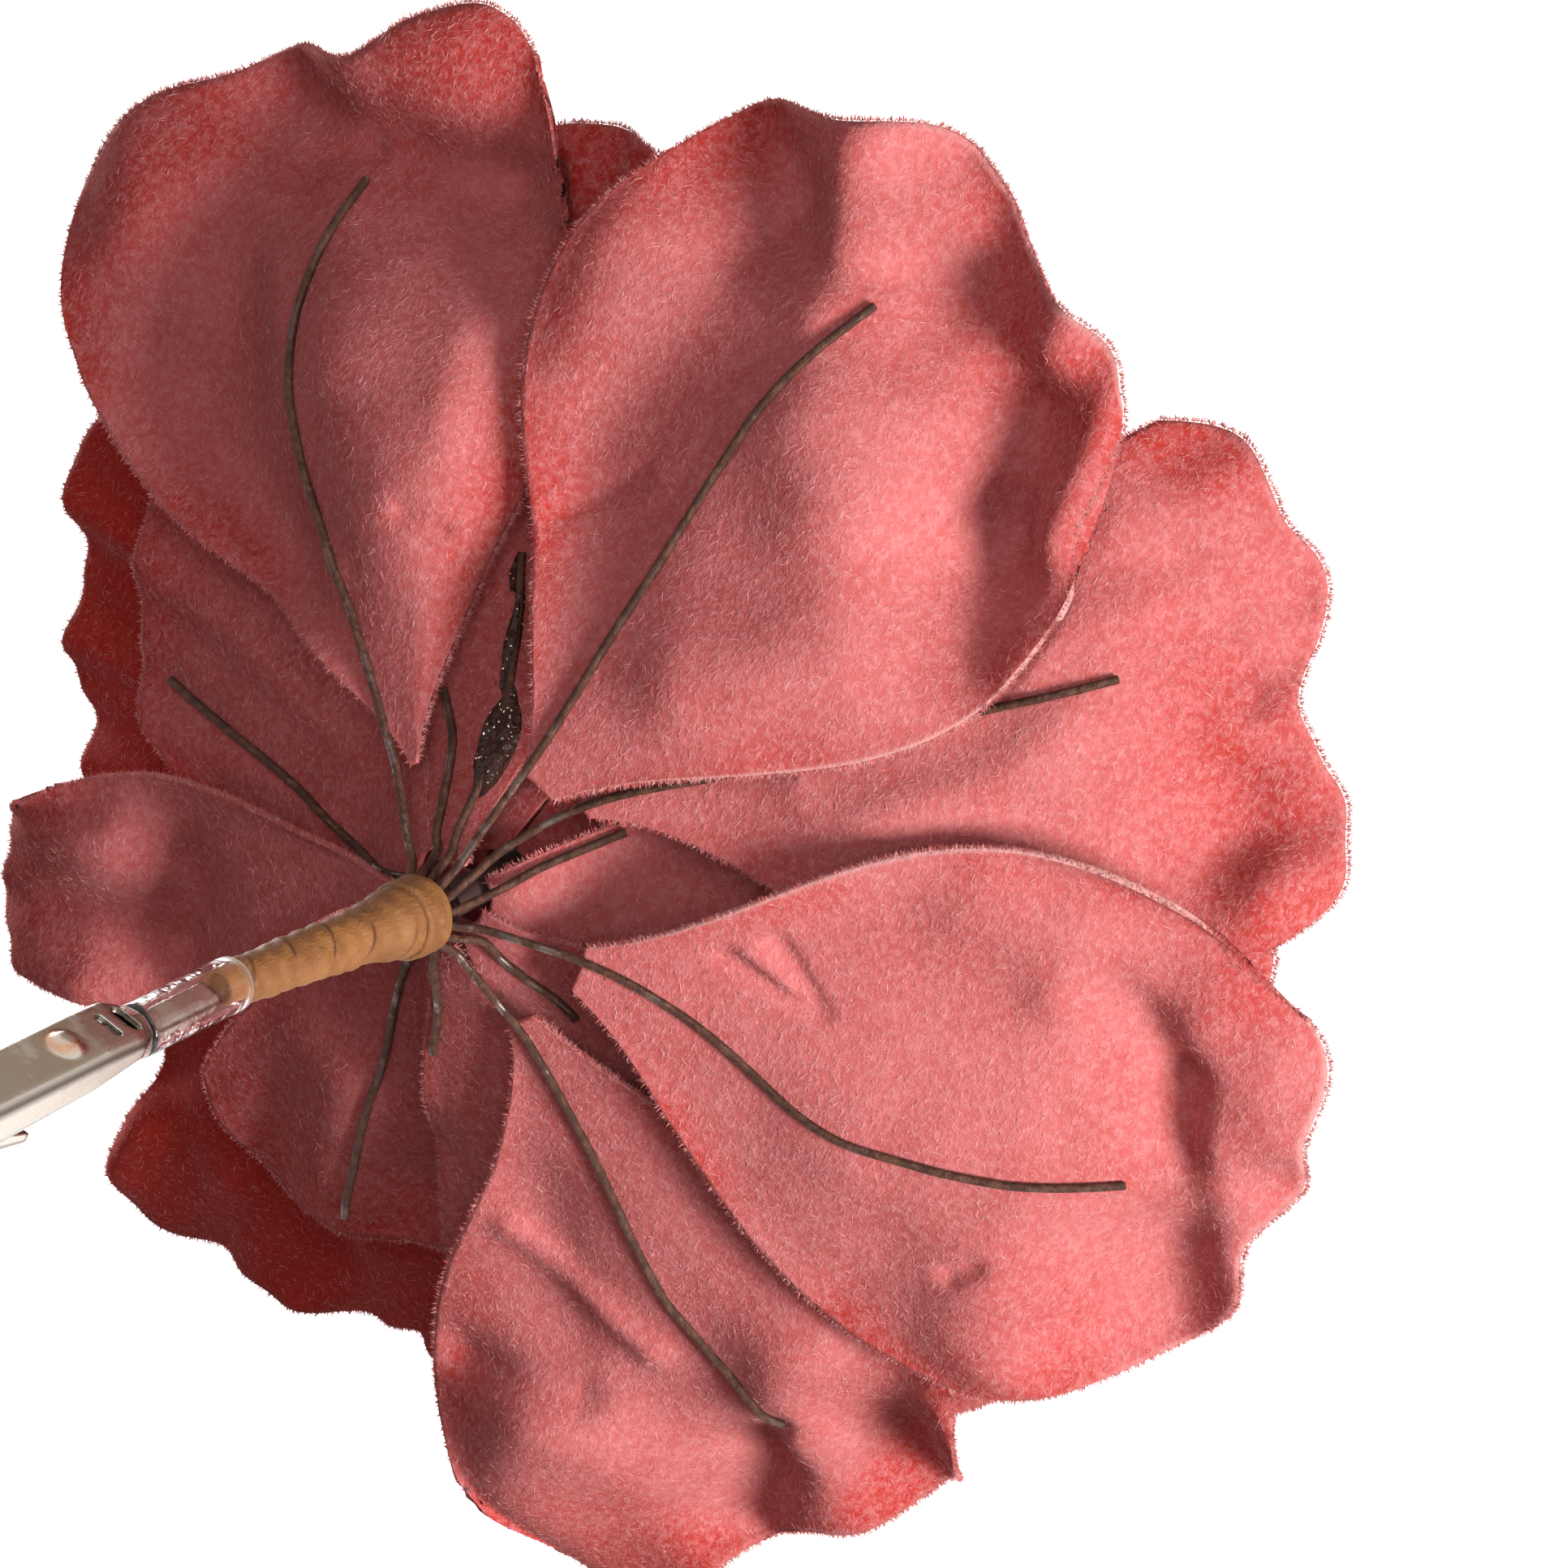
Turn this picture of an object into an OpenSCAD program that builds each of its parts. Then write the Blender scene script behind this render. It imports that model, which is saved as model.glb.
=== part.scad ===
// Wired fabric flower on a sprung metal hair clip.
// The clip's jaws close on the origin, its length runs along Y and its broad faces look up and down.
// The flower's stem is sleeved onto the clip's tail, and the flower opens towards +Y.

/* [Flower] */
// Radius of the open flower, to the petals' usual reach
flower_r = 66; // [55:0.1:80]
// Depth of the petals' bowl, averaged round the flower
cup_depth = 24; // [18:1:30]
// How much deeper the bowl is on its deep side than the average
cup_lean = 8; // [0:0.5:9]
// Thickness of the flocked fabric
petal_t = 0.55; // [0.4:0.05:0.7]
// Spacing of neighbouring layers of petals, out on the petals
layer_gap = 2.2; // [2:0.1:2.6]
// Spacing of neighbouring layers of petals at the stem
hub_gap = 0.9; // [0.8:0.05:1.2]

/* [Wires and stem] */
// Diameter of the paper-covered petal wire
wire_d = 0.9; // [0.7:0.01:1.08]
// How far each petal wire runs inside the wound tape
wire_tail = 4; // [3:0.5:6]
// Radius of the stem's core where it meets the clip's sleeve
core_r = 1.3; // [1.1:0.05:1.4]
// Radius of the stem's core inside the ring of petal wires
core_hub_r = 1.7; // [1.5:0.05:1.75]
// Length of the taped stem between the sleeve and the collar's rim
stem_len = 26; // [22:0.1:36]
// Wall of the wound tape
tape_wall = 0.3; // [0.25:0.05:0.5]
// Thickness of the rolled collar beyond the tape
collar_t = 0.45; // [0.3:0.05:0.7]
// Length of the rolled collar
collar_len = 3.4; // [2.5:0.1:4.5]

/* [Sleeve] */
// Outer diameter of the clear sleeve
sleeve_d = 4.7; // [4.4:0.1:6]
// Bore of the clear sleeve
sleeve_bore = 3.6; // [3.5:0.05:3.9]
// Length of the clear sleeve
sleeve_len = 13.5; // [12:0.5:16]

/* [Clip] */
// Width of the upper arm, outside its walls
arm_w = 5.8; // [4.8:0.01:7]
// Thickness of the clip's sheet metal
sheet_t = 0.5; // [0.4:0.05:0.6]
// Clearance between the upper arm's walls and the lower arm's walls, each side
nest_gap = 0.3; // [0.2:0.05:0.4]
// Distance from the grip's centre to the pivot pin
pivot_y = 19; // [17:0.5:21]
// Distance from the pivot pin to the upper arm's shoulder
tail_len = 26; // [25:0.5:30]
// Distance from the grip's centre to the tips of the jaws
nose_len = 6; // [5:0.5:7]
// Distance from the pivot pin to the end of the lower arm's lever
lever_len = 12; // [10:0.5:14]
// Diameter of the pivot pin
pin_d = 1.6; // [1.3:0.01:1.92]
// Diameter of the pin's riveted heads
pin_head_d = 2.6; // [2.3:0.1:3]
// Running clearance of the lower arm on the pin, on the radius
pin_fit = 0.06; // [0.04:0.01:0.1]
// Diameter of the spring's wire
spring_wire = 0.55; // [0.45:0.05:0.6]
// Turns in the spring's coil, where the arms are wide enough for them
spring_turns = 3; // [2:1:3]
// Width of the dimple pressed in the tail
dimple_d = 3; // [2.4:0.1:3.4]
// Pitch of the jaws' teeth
tooth_pitch = 1.6; // [1.2:0.1:2]
// Depth of the jaws' teeth
tooth_depth = 0.7; // [0.4:0.1:0.8]

/* [Hidden] */
$fn = 48;

ROSE = [0.72, 0.26, 0.27];
DEEP = [0.55, 0.10, 0.10];
NICKEL = [0.78, 0.75, 0.68];
TAPE = [0.70, 0.46, 0.24];
BROWN = [0.27, 0.17, 0.14];

shoulder_y = pivot_y + tail_len;
sleeve_y = shoulder_y + 0.3;
sleeve_end = sleeve_y + sleeve_len;
stem_push = 2.3;          // how far the taped stem is pushed into the sleeve
rim_gap = 1.6;            // from the collar's rim to the plane that the petals start from
wire_turn = 0.9;          // from that plane back to where the wires turn outwards
hub = [1.5, sleeve_end + stem_len + rim_gap, -1.2];   // the stem leans a little on its way to the flower
stem_base = [0, sleeve_end, 0];
stem_dir = (hub - stem_base) / norm(hub - stem_base);
stem_tilt_x = asin(stem_dir[2]);
stem_tilt_z = -atan2(stem_dir[0], stem_dir[1]);

wire_r = wire_d / 2;
wire_step = 25;           // the closest two wires stand on the ring, in degrees
// The wires stand side by side on this radius, clear of the core and of each other.
wire_ring_r = max(core_hub_r + wire_r + 0.1, (wire_d + 0.07) / 2 / sin(wire_step / 2));
tape_in = wire_ring_r + wire_r + 0.12;
tape_end_r = tape_in + tape_wall;

// ---- The petals: shells on one shared bowl, each on its own layer ----
// Each row: name, layer (0 is the outermost), radius where it starts,
// bearings of its low edge and of its high edge at the base, the middle and the shoulder,
// and its reach from the low edge to the high edge, as a share of the flower's radius.
// Bearings are seen from the clip: 0 points along +X and 90 points up.
PETALS = [
    ["petal_top_left",        1, 14, [136, 112, 116], [144, 169, 166], [0.94, 1.09, 1.08, 1.12, 1.02]],
    ["petal_top",             0, 14, [ 73,  50,  62], [ 86, 113, 109], [0.86, 1.03, 1.08, 1.08, 0.96]],
    ["petal_right",           2, 13, [ 62,  20,  22], [ 76,  70,  66], [0.90, 1.01, 1.03, 1.06, 0.98]],
    ["petal_lower_right",     0, 13, [ -3, -25, -22], [ 15,  37,  24], [0.93, 1.04, 1.04, 1.06, 0.96]],
    ["petal_bottom",          1, 12, [-44, -76, -72], [-32, -18, -26], [1.06, 1.12, 1.04, 1.01, 0.92]],
    ["petal_bottom_under",    2,  7, [-92, -85, -79], [-60, -44, -46], [0.76, 0.86, 0.90, 0.88, 0.80]],
    ["petal_lower_left",      4,  6, [-122, -124, -118], [-70, -64, -66], [0.78, 0.80, 0.72, 0.66, 0.60]],
    ["petal_lower_left_deep", 6, 10, [-120, -124, -122], [-80, -66, -76], [0.96, 1.15, 1.05, 0.95, 0.88]],
    ["petal_left",            1, 11, [-160, -161, -152], [-148, -125, -131], [0.78, 0.90, 0.94, 0.91, 0.80]],
    ["petal_upper_left",      3,  9, [150, 152, 158], [208, 204, 203], [0.88, 0.78, 0.70, 0.65, 0.54]],
    ["petal_far_left",        5, 12, [168, 164, 166], [207, 206, 206], [0.98, 0.94, 0.90, 0.85, 0.80]],
    ["petal_top_under",       3,  6, [100, 100, 102], [150, 142, 138], [0.84, 0.92, 0.94, 0.90, 0.80]],
    ["petal_right_under",     4,  5, [ -6,  -4,   0], [ 62,  48,  44], [0.80, 0.90, 0.92, 0.90, 0.82]],
    ["petal_low_under",       3,  5, [-62, -52, -50], [  5,  -6,  -8], [0.80, 0.88, 0.92, 0.90, 0.84]],
    ["whorl_petal_1",         7,  5, [-28, -34, -30], [ 28,  34,  30], [0.58, 0.66, 0.70, 0.66, 0.60]],
    ["whorl_petal_2",         8,  5, [ 32,  26,  30], [ 88,  94,  90], [0.56, 0.66, 0.68, 0.68, 0.58]],
    ["whorl_petal_3",         7,  5, [ 92,  86,  90], [148, 154, 150], [0.58, 0.68, 0.70, 0.64, 0.58]],
    ["whorl_petal_4",         8,  5, [152, 146, 150], [208, 214, 210], [0.58, 0.64, 0.70, 0.68, 0.58]],
    ["whorl_petal_5",         7,  5, [212, 206, 210], [268, 274, 270], [0.56, 0.66, 0.68, 0.66, 0.60]],
    ["whorl_petal_6",         8,  5, [272, 266, 270], [328, 334, 330], [0.58, 0.68, 0.70, 0.66, 0.56]],
    ["heart_petal_1",         9,  4, [ 10,   2,   6], [110, 118, 114], [0.40, 0.47, 0.50, 0.48, 0.40]],
    ["heart_petal_2",         9,  4, [130, 122, 126], [230, 238, 234], [0.41, 0.48, 0.50, 0.46, 0.40]],
    ["heart_petal_3",         9,  4, [250, 242, 246], [350, 358, 354], [0.40, 0.48, 0.51, 0.48, 0.41]]
];
cup_power = 1.3;          // the bowl's profile: above 1 it starts flat and steepens
cup_bearing = 25;         // the bowl is deepest on this bearing
corner_cut = 0.05;        // how far the shoulders of a petal are rounded off
whorl_steep = 1.3;        // the whorl stands steeper than the outer petals
heart_steep = 2.1;        // and the heart petals steeper still
across = 12;              // cells across a petal
along = 12;               // cells along a petal
base_crowd = 1.7;         // above 1, a petal's cells crowd towards its base

function soft(t) = let(c = min(max(t, 0), 1)) c * c * (3 - 2 * c);
function through3(k, t) = k[0] * (1 - t) * (1 - 2 * t) + 4 * k[1] * t * (1 - t) + k[2] * t * (2 * t - 1);
function pass4(a, b, c, d, t) =
    0.5 * (2 * b + (c - a) * t + (2 * a - 5 * b + 4 * c - d) * t * t + (3 * b - a - 3 * c + d) * t * t * t);
function along_knots(k, t) =
    let(n = len(k) - 1, i = min(floor(t * n), n - 1), f = t * n - i)
    pass4(k[max(i - 1, 0)], k[i], k[i + 1], k[min(i + 2, n)], f);

function layer_step(r) = hub_gap + (layer_gap - hub_gap) * soft((r - 4) / 10);
function bowl(a) = cup_depth + cup_lean * cos(a - cup_bearing);
function cup_y(layer, r, a, steep) = layer * layer_step(r) + steep * bowl(a) * pow(r / flower_r, cup_power);
function cup_slope(layer, r, a, steep) = cup_y(layer, r + 0.5, a, steep) - cup_y(layer, r - 0.5, a, steep);
// A thickness square to the bowl, measured along the flower's axis.
function along_axis(t, layer, r, a, steep) = t * sqrt(1 + pow(cup_slope(layer, r, a, steep), 2));
function at(r, a, y) = hub + [r * cos(a), y, r * sin(a)];

function petal_steep(p) = p[1] >= 9 ? heart_steep : p[1] >= 7 ? whorl_steep : 1;
function petal_reach(p, u) = flower_r * along_knots(p[5], u) * (1 - corner_cut * pow(abs(2 * u - 1), 8));
function petal_polar(p, u, v) =
    [p[2] + (petal_reach(p, u) - p[2]) * v, through3(p[3], v) * (1 - u) + through3(p[4], v) * u];
function petal_point(p, u, v, side) =
    let(q = petal_polar(p, u, v), s = petal_steep(p))
    at(q[0], q[1], cup_y(p[1], q[0], q[1], s) + along_axis(side * petal_t, p[1], q[0], q[1], s));

// A closed shell from a grid of points on its back (side 0) and on its front (side 1).
module shell_of(rows, cols, points) {
    layer = (rows + 1) * (cols + 1);
    faces = [
        for (j = [0 : rows - 1]) for (i = [0 : cols - 1])
            let(k = j * (cols + 1) + i, up = k + cols + 1)
            each [[k, k + 1, up + 1], [k, up + 1, up],
                  [layer + k, layer + up + 1, layer + k + 1], [layer + k, layer + up, layer + up + 1]],
        for (i = [0 : cols - 1])
            let(k = i, e = rows * (cols + 1) + i)
            each [[k, layer + k, layer + k + 1], [k, layer + k + 1, k + 1],
                  [e, layer + e + 1, layer + e], [e, e + 1, layer + e + 1]],
        for (j = [0 : rows - 1])
            let(k = j * (cols + 1), up = k + cols + 1, e = k + cols, eup = e + cols + 1)
            each [[k, layer + up, layer + k], [k, up, layer + up],
                  [e, layer + e, layer + eup], [e, layer + eup, eup]]
    ];
    polyhedron(points = points, faces = faces, convexity = 6);
}

module petal(p) {
    color(p[1] == 5 || p[1] == 6 ? DEEP : ROSE)
        shell_of(along, across,
            [for (side = [0, 1]) for (j = [0 : along]) for (i = [0 : across])
                petal_point(p, i / across, pow(j / along, base_crowd), side)]);
}

// ---- The bud: three wrapped petals round a core ----
bud_start = 15.5;         // how far in front of the hub the bud's petals start
bud_top = 38;             // how far in front of the hub they end
// Each row: name, radius at its waist, first bearing, sweep, how much shorter than the longest
BUD = [
    ["bud_petal_1", 4.6,  20, 230, 0],
    ["bud_petal_2", 6.6, 160, 220, 1.5],
    ["bud_petal_3", 8.6, 290, 210, 3.5]
];
module bud_petal(b) {
    top = bud_top - b[4];
    color(ROSE) translate(hub) rotate([-90, 0, 0]) rotate([0, 0, -b[2] - b[3]])
        rotate_extrude(angle = b[3])
            polygon([
                [b[1] * 0.4, bud_start], [b[1] * 0.8, bud_start + 3], [b[1], bud_start + 8],
                [b[1] * 0.94, top - 4], [b[1] * 1.08, top],
                [b[1] * 1.08 + petal_t, top - 0.2], [b[1] * 0.94 + petal_t, top - 4],
                [b[1] + petal_t, bud_start + 8], [b[1] * 0.8 + petal_t, bud_start + 3],
                [b[1] * 0.4 + petal_t, bud_start]
            ]);
}
module bud_core() {
    color(DEEP) translate(hub) rotate([-90, 0, 0])
        rotate_extrude()
            polygon([[0, bud_start - 0.5], [1.7, bud_start - 0.5], [2.1, bud_start + 3],
                     [3.2, bud_start + 9], [2.9, bud_start + 15], [1.4, bud_start + 19], [0, bud_start + 20]]);
}

// ---- The petal wires ----
// Each row: name, layer of the petal it is glued to, its place on the ring in the stem,
// and its route out along the petal's back, as [radius, bearing].
WIRES = [
    ["wire_top_left",     1, 163, [[6, 152], [15, 147], [39, 146], [59, 138]]],
    ["wire_top",          0,  88, [[5,  87], [15,  86], [34,  89], [60,  86]]],
    ["wire_right",        2,  63, [[5,  73], [11,  69], [24,  56], [56,  49]]],
    ["wire_lower_right",  0,   8, [[6,  12], [15,  10], [32,  -2], [58,   3]]],
    ["wire_bottom",       1, -50, [[6, -42], [15, -40], [37, -46], [55, -42]]],
    ["wire_bottom_under", 2, -82, [[5, -82], [8, -84], [12, -84], [18, -84]]],
    ["wire_lower_left",   4, -112, [[5, -114], [14, -111], [27, -100], [46, -95]]],
    ["wire_upper_left",   3, 196, [[5, 201], [11, 206], [22, 195], [40, 192]]],
    ["wire_top_under",    3, 138, [[5, 138], [8, 134], [12, 133], [17, 135]]],
    ["wire_glued",        3, 113, [[5, 116], [9, 113], [18, 113], [28, 116]]],
    ["wire_right_under",  4,  36, [[4.5, 44], [7, 50], [10, 51], [13, 51]]],
    ["wire_low_under",    3, -23, [[5, -27], [8, -29], [11, -30], [14, -31]]]
];
wire_sides = 6;
wire_steps = 18;          // rings along the part that lies on the petal
bond = 0.2;                // film of glue between a wire and its petal

function wire_lie(w, r, a) = cup_y(w[1], r, a, 1) - along_axis(wire_r + bond, w[1], r, a, 1);
function wire_point(w, r, a) =
    at(r, a, -wire_turn + (wire_lie(w, r, a) + wire_turn) * soft((r - wire_ring_r) / 2.5));
function wire_tail_point(w, s) = at(wire_ring_r, w[2], -wire_turn) - s * stem_dir;
function wire_route(w) = concat(
    [wire_tail_point(w, wire_tail + rim_gap), wire_tail_point(w, wire_tail / 2), wire_tail_point(w, 0.3)],
    [for (i = [0 : wire_steps])
        let(t = i / wire_steps, k = concat([[wire_ring_r + 0.25, w[2]]], w[3]), q = along_knots(k, t))
        wire_point(w, q[0], q[1])]);

function unit(v) = v / norm(v);
function square_to(v, d) = unit(v - (v * d) * d);
function headings(p) = [for (i = [0 : len(p) - 1]) unit(p[min(i + 1, len(p) - 1)] - p[max(i - 1, 0)])];
function sides_of(d, i = 0, v = [1, 0, 0.3]) =
    i == len(d) ? [] : let(s = square_to(v, d[i])) concat([s], sides_of(d, i + 1, s));

// A round tube of radius r through the points of a route.
module tube(route, r, sides) {
    d = headings(route);
    s = sides_of(d);
    n = len(route);
    points = [for (i = [0 : n - 1]) for (k = [0 : sides - 1])
        let(a = 360 * k / sides) route[i] + r * (cos(a) * s[i] + sin(a) * cross(d[i], s[i]))];
    faces = concat(
        [[for (k = [0 : sides - 1]) k]],
        [[for (k = [sides - 1 : -1 : 0]) (n - 1) * sides + k]],
        [for (i = [0 : n - 2]) for (k = [0 : sides - 1])
            let(a = i * sides + k, b = i * sides + (k + 1) % sides)
            each [[a, a + sides, b + sides], [a, b + sides, b]]]);
    polyhedron(points = points, faces = faces, convexity = 4);
}
module petal_wire(w) {
    color(BROWN) tube(wire_route(w), wire_r, wire_sides);
}

// ---- The stem ----
module on_stem() {
    translate(stem_base) rotate([stem_tilt_x, 0, stem_tilt_z]) rotate([-90, 0, 0]) children();
}
flare_start = stem_len - wire_tail - 4.5;   // where the tape starts to widen over the wires
flare_end = stem_len - wire_tail - 0.8;
module stem_core() {
    color(BROWN) union() {
        on_stem() rotate_extrude()
            polygon([[0, 0.6 - stem_push], [core_r, 0.6 - stem_push], [core_r, flare_start],
                     [core_hub_r, flare_end], [core_hub_r, stem_len + rim_gap], [0, stem_len + rim_gap]]);
        translate(hub - [0, 1, 0]) rotate([-90, 0, 0])
            cylinder(r = core_hub_r - 0.15, h = bud_start + 0.5);
    }
}
module floral_tape() {
    color(TAPE) on_stem() rotate_extrude()
        polygon([[core_r, -stem_push], [core_r + tape_wall, -stem_push], [core_r + tape_wall, 0.35],
                 [core_r + tape_wall + 0.45, 0.8], [core_r + tape_wall + 0.6, flare_start * 0.5],
                 [core_r + tape_wall + 0.8, flare_start], [tape_end_r, flare_end],
                 [tape_end_r, stem_len], [tape_in, stem_len], [tape_in, flare_end],
                 [core_r, flare_start]]);
}
module tape_collar() {
    roll = collar_t;
    color(TAPE) on_stem() rotate_extrude()
        union() {
            translate([tape_end_r, stem_len - collar_len + roll]) square([roll, collar_len - 2 * roll]);
            intersection() {
                translate([tape_end_r, stem_len - roll]) circle(r = roll, $fn = 24);
                translate([tape_end_r, stem_len - roll]) square(roll);
            }
            intersection() {
                translate([tape_end_r, stem_len - collar_len + roll]) circle(r = roll, $fn = 24);
                translate([tape_end_r, stem_len - collar_len]) square(roll);
            }
        }
}

// ---- The sleeve and the clip ----
module clear_sleeve() {
    color([0.85, 0.85, 0.85, 0.5]) translate([0, sleeve_y, 0]) rotate([-90, 0, 0])
        difference() {
            cylinder(d = sleeve_d, h = sleeve_len);
            translate([0, 0, -1]) cylinder(d = sleeve_bore, h = sleeve_len + 2);
        }
}

back_z = 2.75;            // height of the upper arm's flat back above the sleeve's axis
ear_r = 1.6;              // how far the arms' walls reach past the pin
neck_w = 2.6;             // width of the tongue in the sleeve
neck_h = 1.4;             // height of the tongue in the sleeve
neck_len = sleeve_len - stem_push - 1;
slot_1 = [0.5, 2.4, 4.4]; // narrow slot in the tail: its size along and across, and its place before the shoulder
slot_2 = [1.3, 2.4, 1.9]; // wide slot in the tail, nearest the shoulder
jaw_gap = 0.1;            // each jaw's clearance to the grip's middle plane

inner_w = arm_w - 2 * sheet_t;            // between the upper arm's walls
lower_w = inner_w - 2 * nest_gap;         // outside the lower arm's walls
lower_in = lower_w - 2 * sheet_t;         // between the lower arm's walls

// An outline in the Y-Z plane, given X thickness and centred on X.
module side_plate(w, outline) {
    translate([-w / 2, 0, 0]) rotate([90, 0, 90]) linear_extrude(w) polygon(outline);
}
// A strip of sheet bent along a side profile, thickness t below the line.
module bent_strip(w, line, t) {
    side_plate(w, concat(line, [for (i = [len(line) - 1 : -1 : 0]) line[i] - [0, t]]));
}
// A row of teeth along a jaw's edge, from y0 back to y1.
function tooth_back(y0, y1, z, depth) =
    let(n = floor((y0 - y1) / tooth_pitch))
    [for (k = [0 : n - 1]) each [[y0 - (k + 0.25) * tooth_pitch, z], [y0 - (k + 0.75) * tooth_pitch, z + depth]]];

upper_line = [[-nose_len, 1.0], [-nose_len + 2, 1.4], [0, 1.7], [pivot_y * 0.6, 2.45], [pivot_y - 1, back_z],
              [shoulder_y - 7, back_z], [shoulder_y - 3, back_z - 0.2],
              [shoulder_y - 0.9, back_z - 0.6], [shoulder_y, neck_h / 2]];
wall_end = shoulder_y - 1;

module upper_arm() {
    color(NICKEL) difference() {
        union() {
            bent_strip(arm_w, upper_line, sheet_t);
            // The two folded walls, toothed at the jaw and rounded over the pin.
            for (side = [-1, 1]) translate([side * (arm_w - sheet_t) / 2, 0, 0])
                side_plate(sheet_t, concat(
                    [[-nose_len, 0.9], [-nose_len + 2, 1.3], [0, 1.6], [pivot_y * 0.6, 2.35],
                     [pivot_y - 1, back_z - 0.1], [shoulder_y - 7, back_z - 0.1],
                     [shoulder_y - 3, back_z - 0.3], [wall_end, back_z - 0.7],
                     [wall_end - 0.6, 0.6], [shoulder_y - 8, -0.7], [pivot_y + 6, -1.4],
                     [pivot_y + 1.2, -ear_r], [pivot_y - 1.2, -ear_r], [pivot_y - 5, -0.4],
                     [nose_len + 0.5, jaw_gap]],
                    tooth_back(nose_len, -nose_len, jaw_gap, tooth_depth)));
            // The tongue that goes into the sleeve, folded down at both edges.
            translate([-neck_w / 2, shoulder_y - 0.6, neck_h / 2 - sheet_t])
                cube([neck_w, neck_len + 0.6, sheet_t]);
            for (side = [-1, 1]) translate([side * (neck_w - sheet_t) / 2 - sheet_t / 2, shoulder_y - 0.6, -neck_h / 2])
                cube([sheet_t, neck_len + 0.6, neck_h - 0.1]);
            // The pressed dimple stands up from the tail's back.
            translate([0, shoulder_y - 10, back_z - dimple_d * 0.35])
                intersection() {
                    sphere(d = dimple_d * 1.15, $fn = 40);
                    translate([-dimple_d, -dimple_d, dimple_d * 0.25]) cube(dimple_d * 2);
                }
        }
        for (slot = [slot_1, slot_2])
            translate([-slot[1] / 2, shoulder_y - slot[2] - slot[0] / 2, 0.8]) cube([slot[1], slot[0], 3]);
        translate([-arm_w, pivot_y, 0]) rotate([0, 90, 0]) cylinder(d = pin_d, h = 2 * arm_w);
    }
}

lever_end = pivot_y + lever_len;
lower_line = [[-nose_len, -0.5], [-nose_len + 2, -0.9], [0, -1.2], [pivot_y * 0.6, -2.1], [pivot_y, -2.4],
              [pivot_y + 5, -2.9], [lever_end, -4.3]];
module lower_arm() {
    color(NICKEL) difference() {
        union() {
            bent_strip(lower_w, lower_line, sheet_t);
            for (side = [-1, 1]) translate([side * (lower_w - sheet_t) / 2, 0, 0])
                side_plate(sheet_t, concat(
                    [[-nose_len, -0.6], [-nose_len + 2, -1], [0, -1.3], [pivot_y * 0.6, -2.2], [pivot_y, -2.5],
                     [pivot_y + 5, -3], [lever_end, -4.4], [lever_end, -3.4], [pivot_y + 6, -1.4],
                     [pivot_y + 1.6, 0.8], [pivot_y + 0.8, 1.5], [pivot_y - 0.8, 1.5], [pivot_y - 1.6, 0.8],
                     [pivot_y - 4, -0.5], [nose_len + 0.5, -jaw_gap - tooth_depth]],
                    tooth_back(nose_len, -nose_len, -jaw_gap - tooth_depth, tooth_depth)));
        }
        translate([-arm_w, pivot_y, 0]) rotate([0, 90, 0]) cylinder(d = pin_d + 2 * pin_fit, h = 2 * arm_w);
    }
}
module pivot_pin() {
    head_t = 0.45;
    color(NICKEL) translate([0, pivot_y, 0]) rotate([0, 90, 0]) union() {
        translate([0, 0, -arm_w / 2 - 0.1]) cylinder(d = pin_d, h = arm_w + 0.2);
        for (side = [0, 1]) mirror([0, 0, side]) translate([0, 0, arm_w / 2])
            rotate_extrude() polygon([[0, 0], [pin_head_d / 2, 0], [pin_head_d / 2, head_t * 0.4],
                                      [pin_head_d / 2 - 0.35, head_t], [0, head_t]]);
    }
}

// The spring: a coil round the pin with a leg up under the back, and a second leg down on the lever.
// The lower leg starts in its own turn, beside the coil, because it moves with the lever.
coil_r = pin_d / 2 + 0.12 + spring_wire / 2;
coil_pitch = spring_wire + 0.03;
spring_clear = 0.15;      // from the spring to the lower arm's walls, each side
// The coil has as many of its turns as stand side by side between the lower arm's walls.
coil_turns = min(spring_turns, floor((lower_in - spring_wire - 2 * spring_clear) / coil_pitch) - 1);
leg_x = -(coil_turns + 1) * coil_pitch / 2;
leg_reach = 7;            // how far the legs reach behind the pin
leg_gap = 0.1;            // from each leg's end to the sheet that it presses on
coil_sides = 6;
turn_step = 30;
function round_pin(x, a) = [x, pivot_y + coil_r * cos(a), coil_r * sin(a)];
module spring_coil() {
    last_x = leg_x + coil_pitch * (coil_turns + 0.5);
    leg_z = back_z - sheet_t - spring_wire / 2 - leg_gap;
    color(NICKEL) tube(concat(
        [for (a = [0 : turn_step : 360 * coil_turns - 180])
            round_pin(leg_x + coil_pitch * (1 + a / 360), -90 - a)],
        [[last_x, pivot_y + 1.8, coil_r + 0.25], [last_x, pivot_y + leg_reach, leg_z]]),
        spring_wire / 2, coil_sides);
}
module spring_leg() {
    lever_z = lower_line[5][1] + (lower_line[6][1] - lower_line[5][1]) * (leg_reach - 5) / (lever_len - 5);
    color(NICKEL) tube(concat(
        [for (a = [90 : turn_step : 270]) round_pin(leg_x, a)],
        [[leg_x, pivot_y + 1.8, -coil_r - 0.3],
         [leg_x, pivot_y + leg_reach, lever_z + spring_wire / 2 + leg_gap]]),
        spring_wire / 2, coil_sides);
}

upper_arm();
lower_arm();
pivot_pin();
spring_coil();
spring_leg();
clear_sleeve();
stem_core();
floral_tape();
tape_collar();
for (p = PETALS) petal(p);
for (b = BUD) bud_petal(b);
bud_core();
for (w = WIRES) petal_wire(w);
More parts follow.
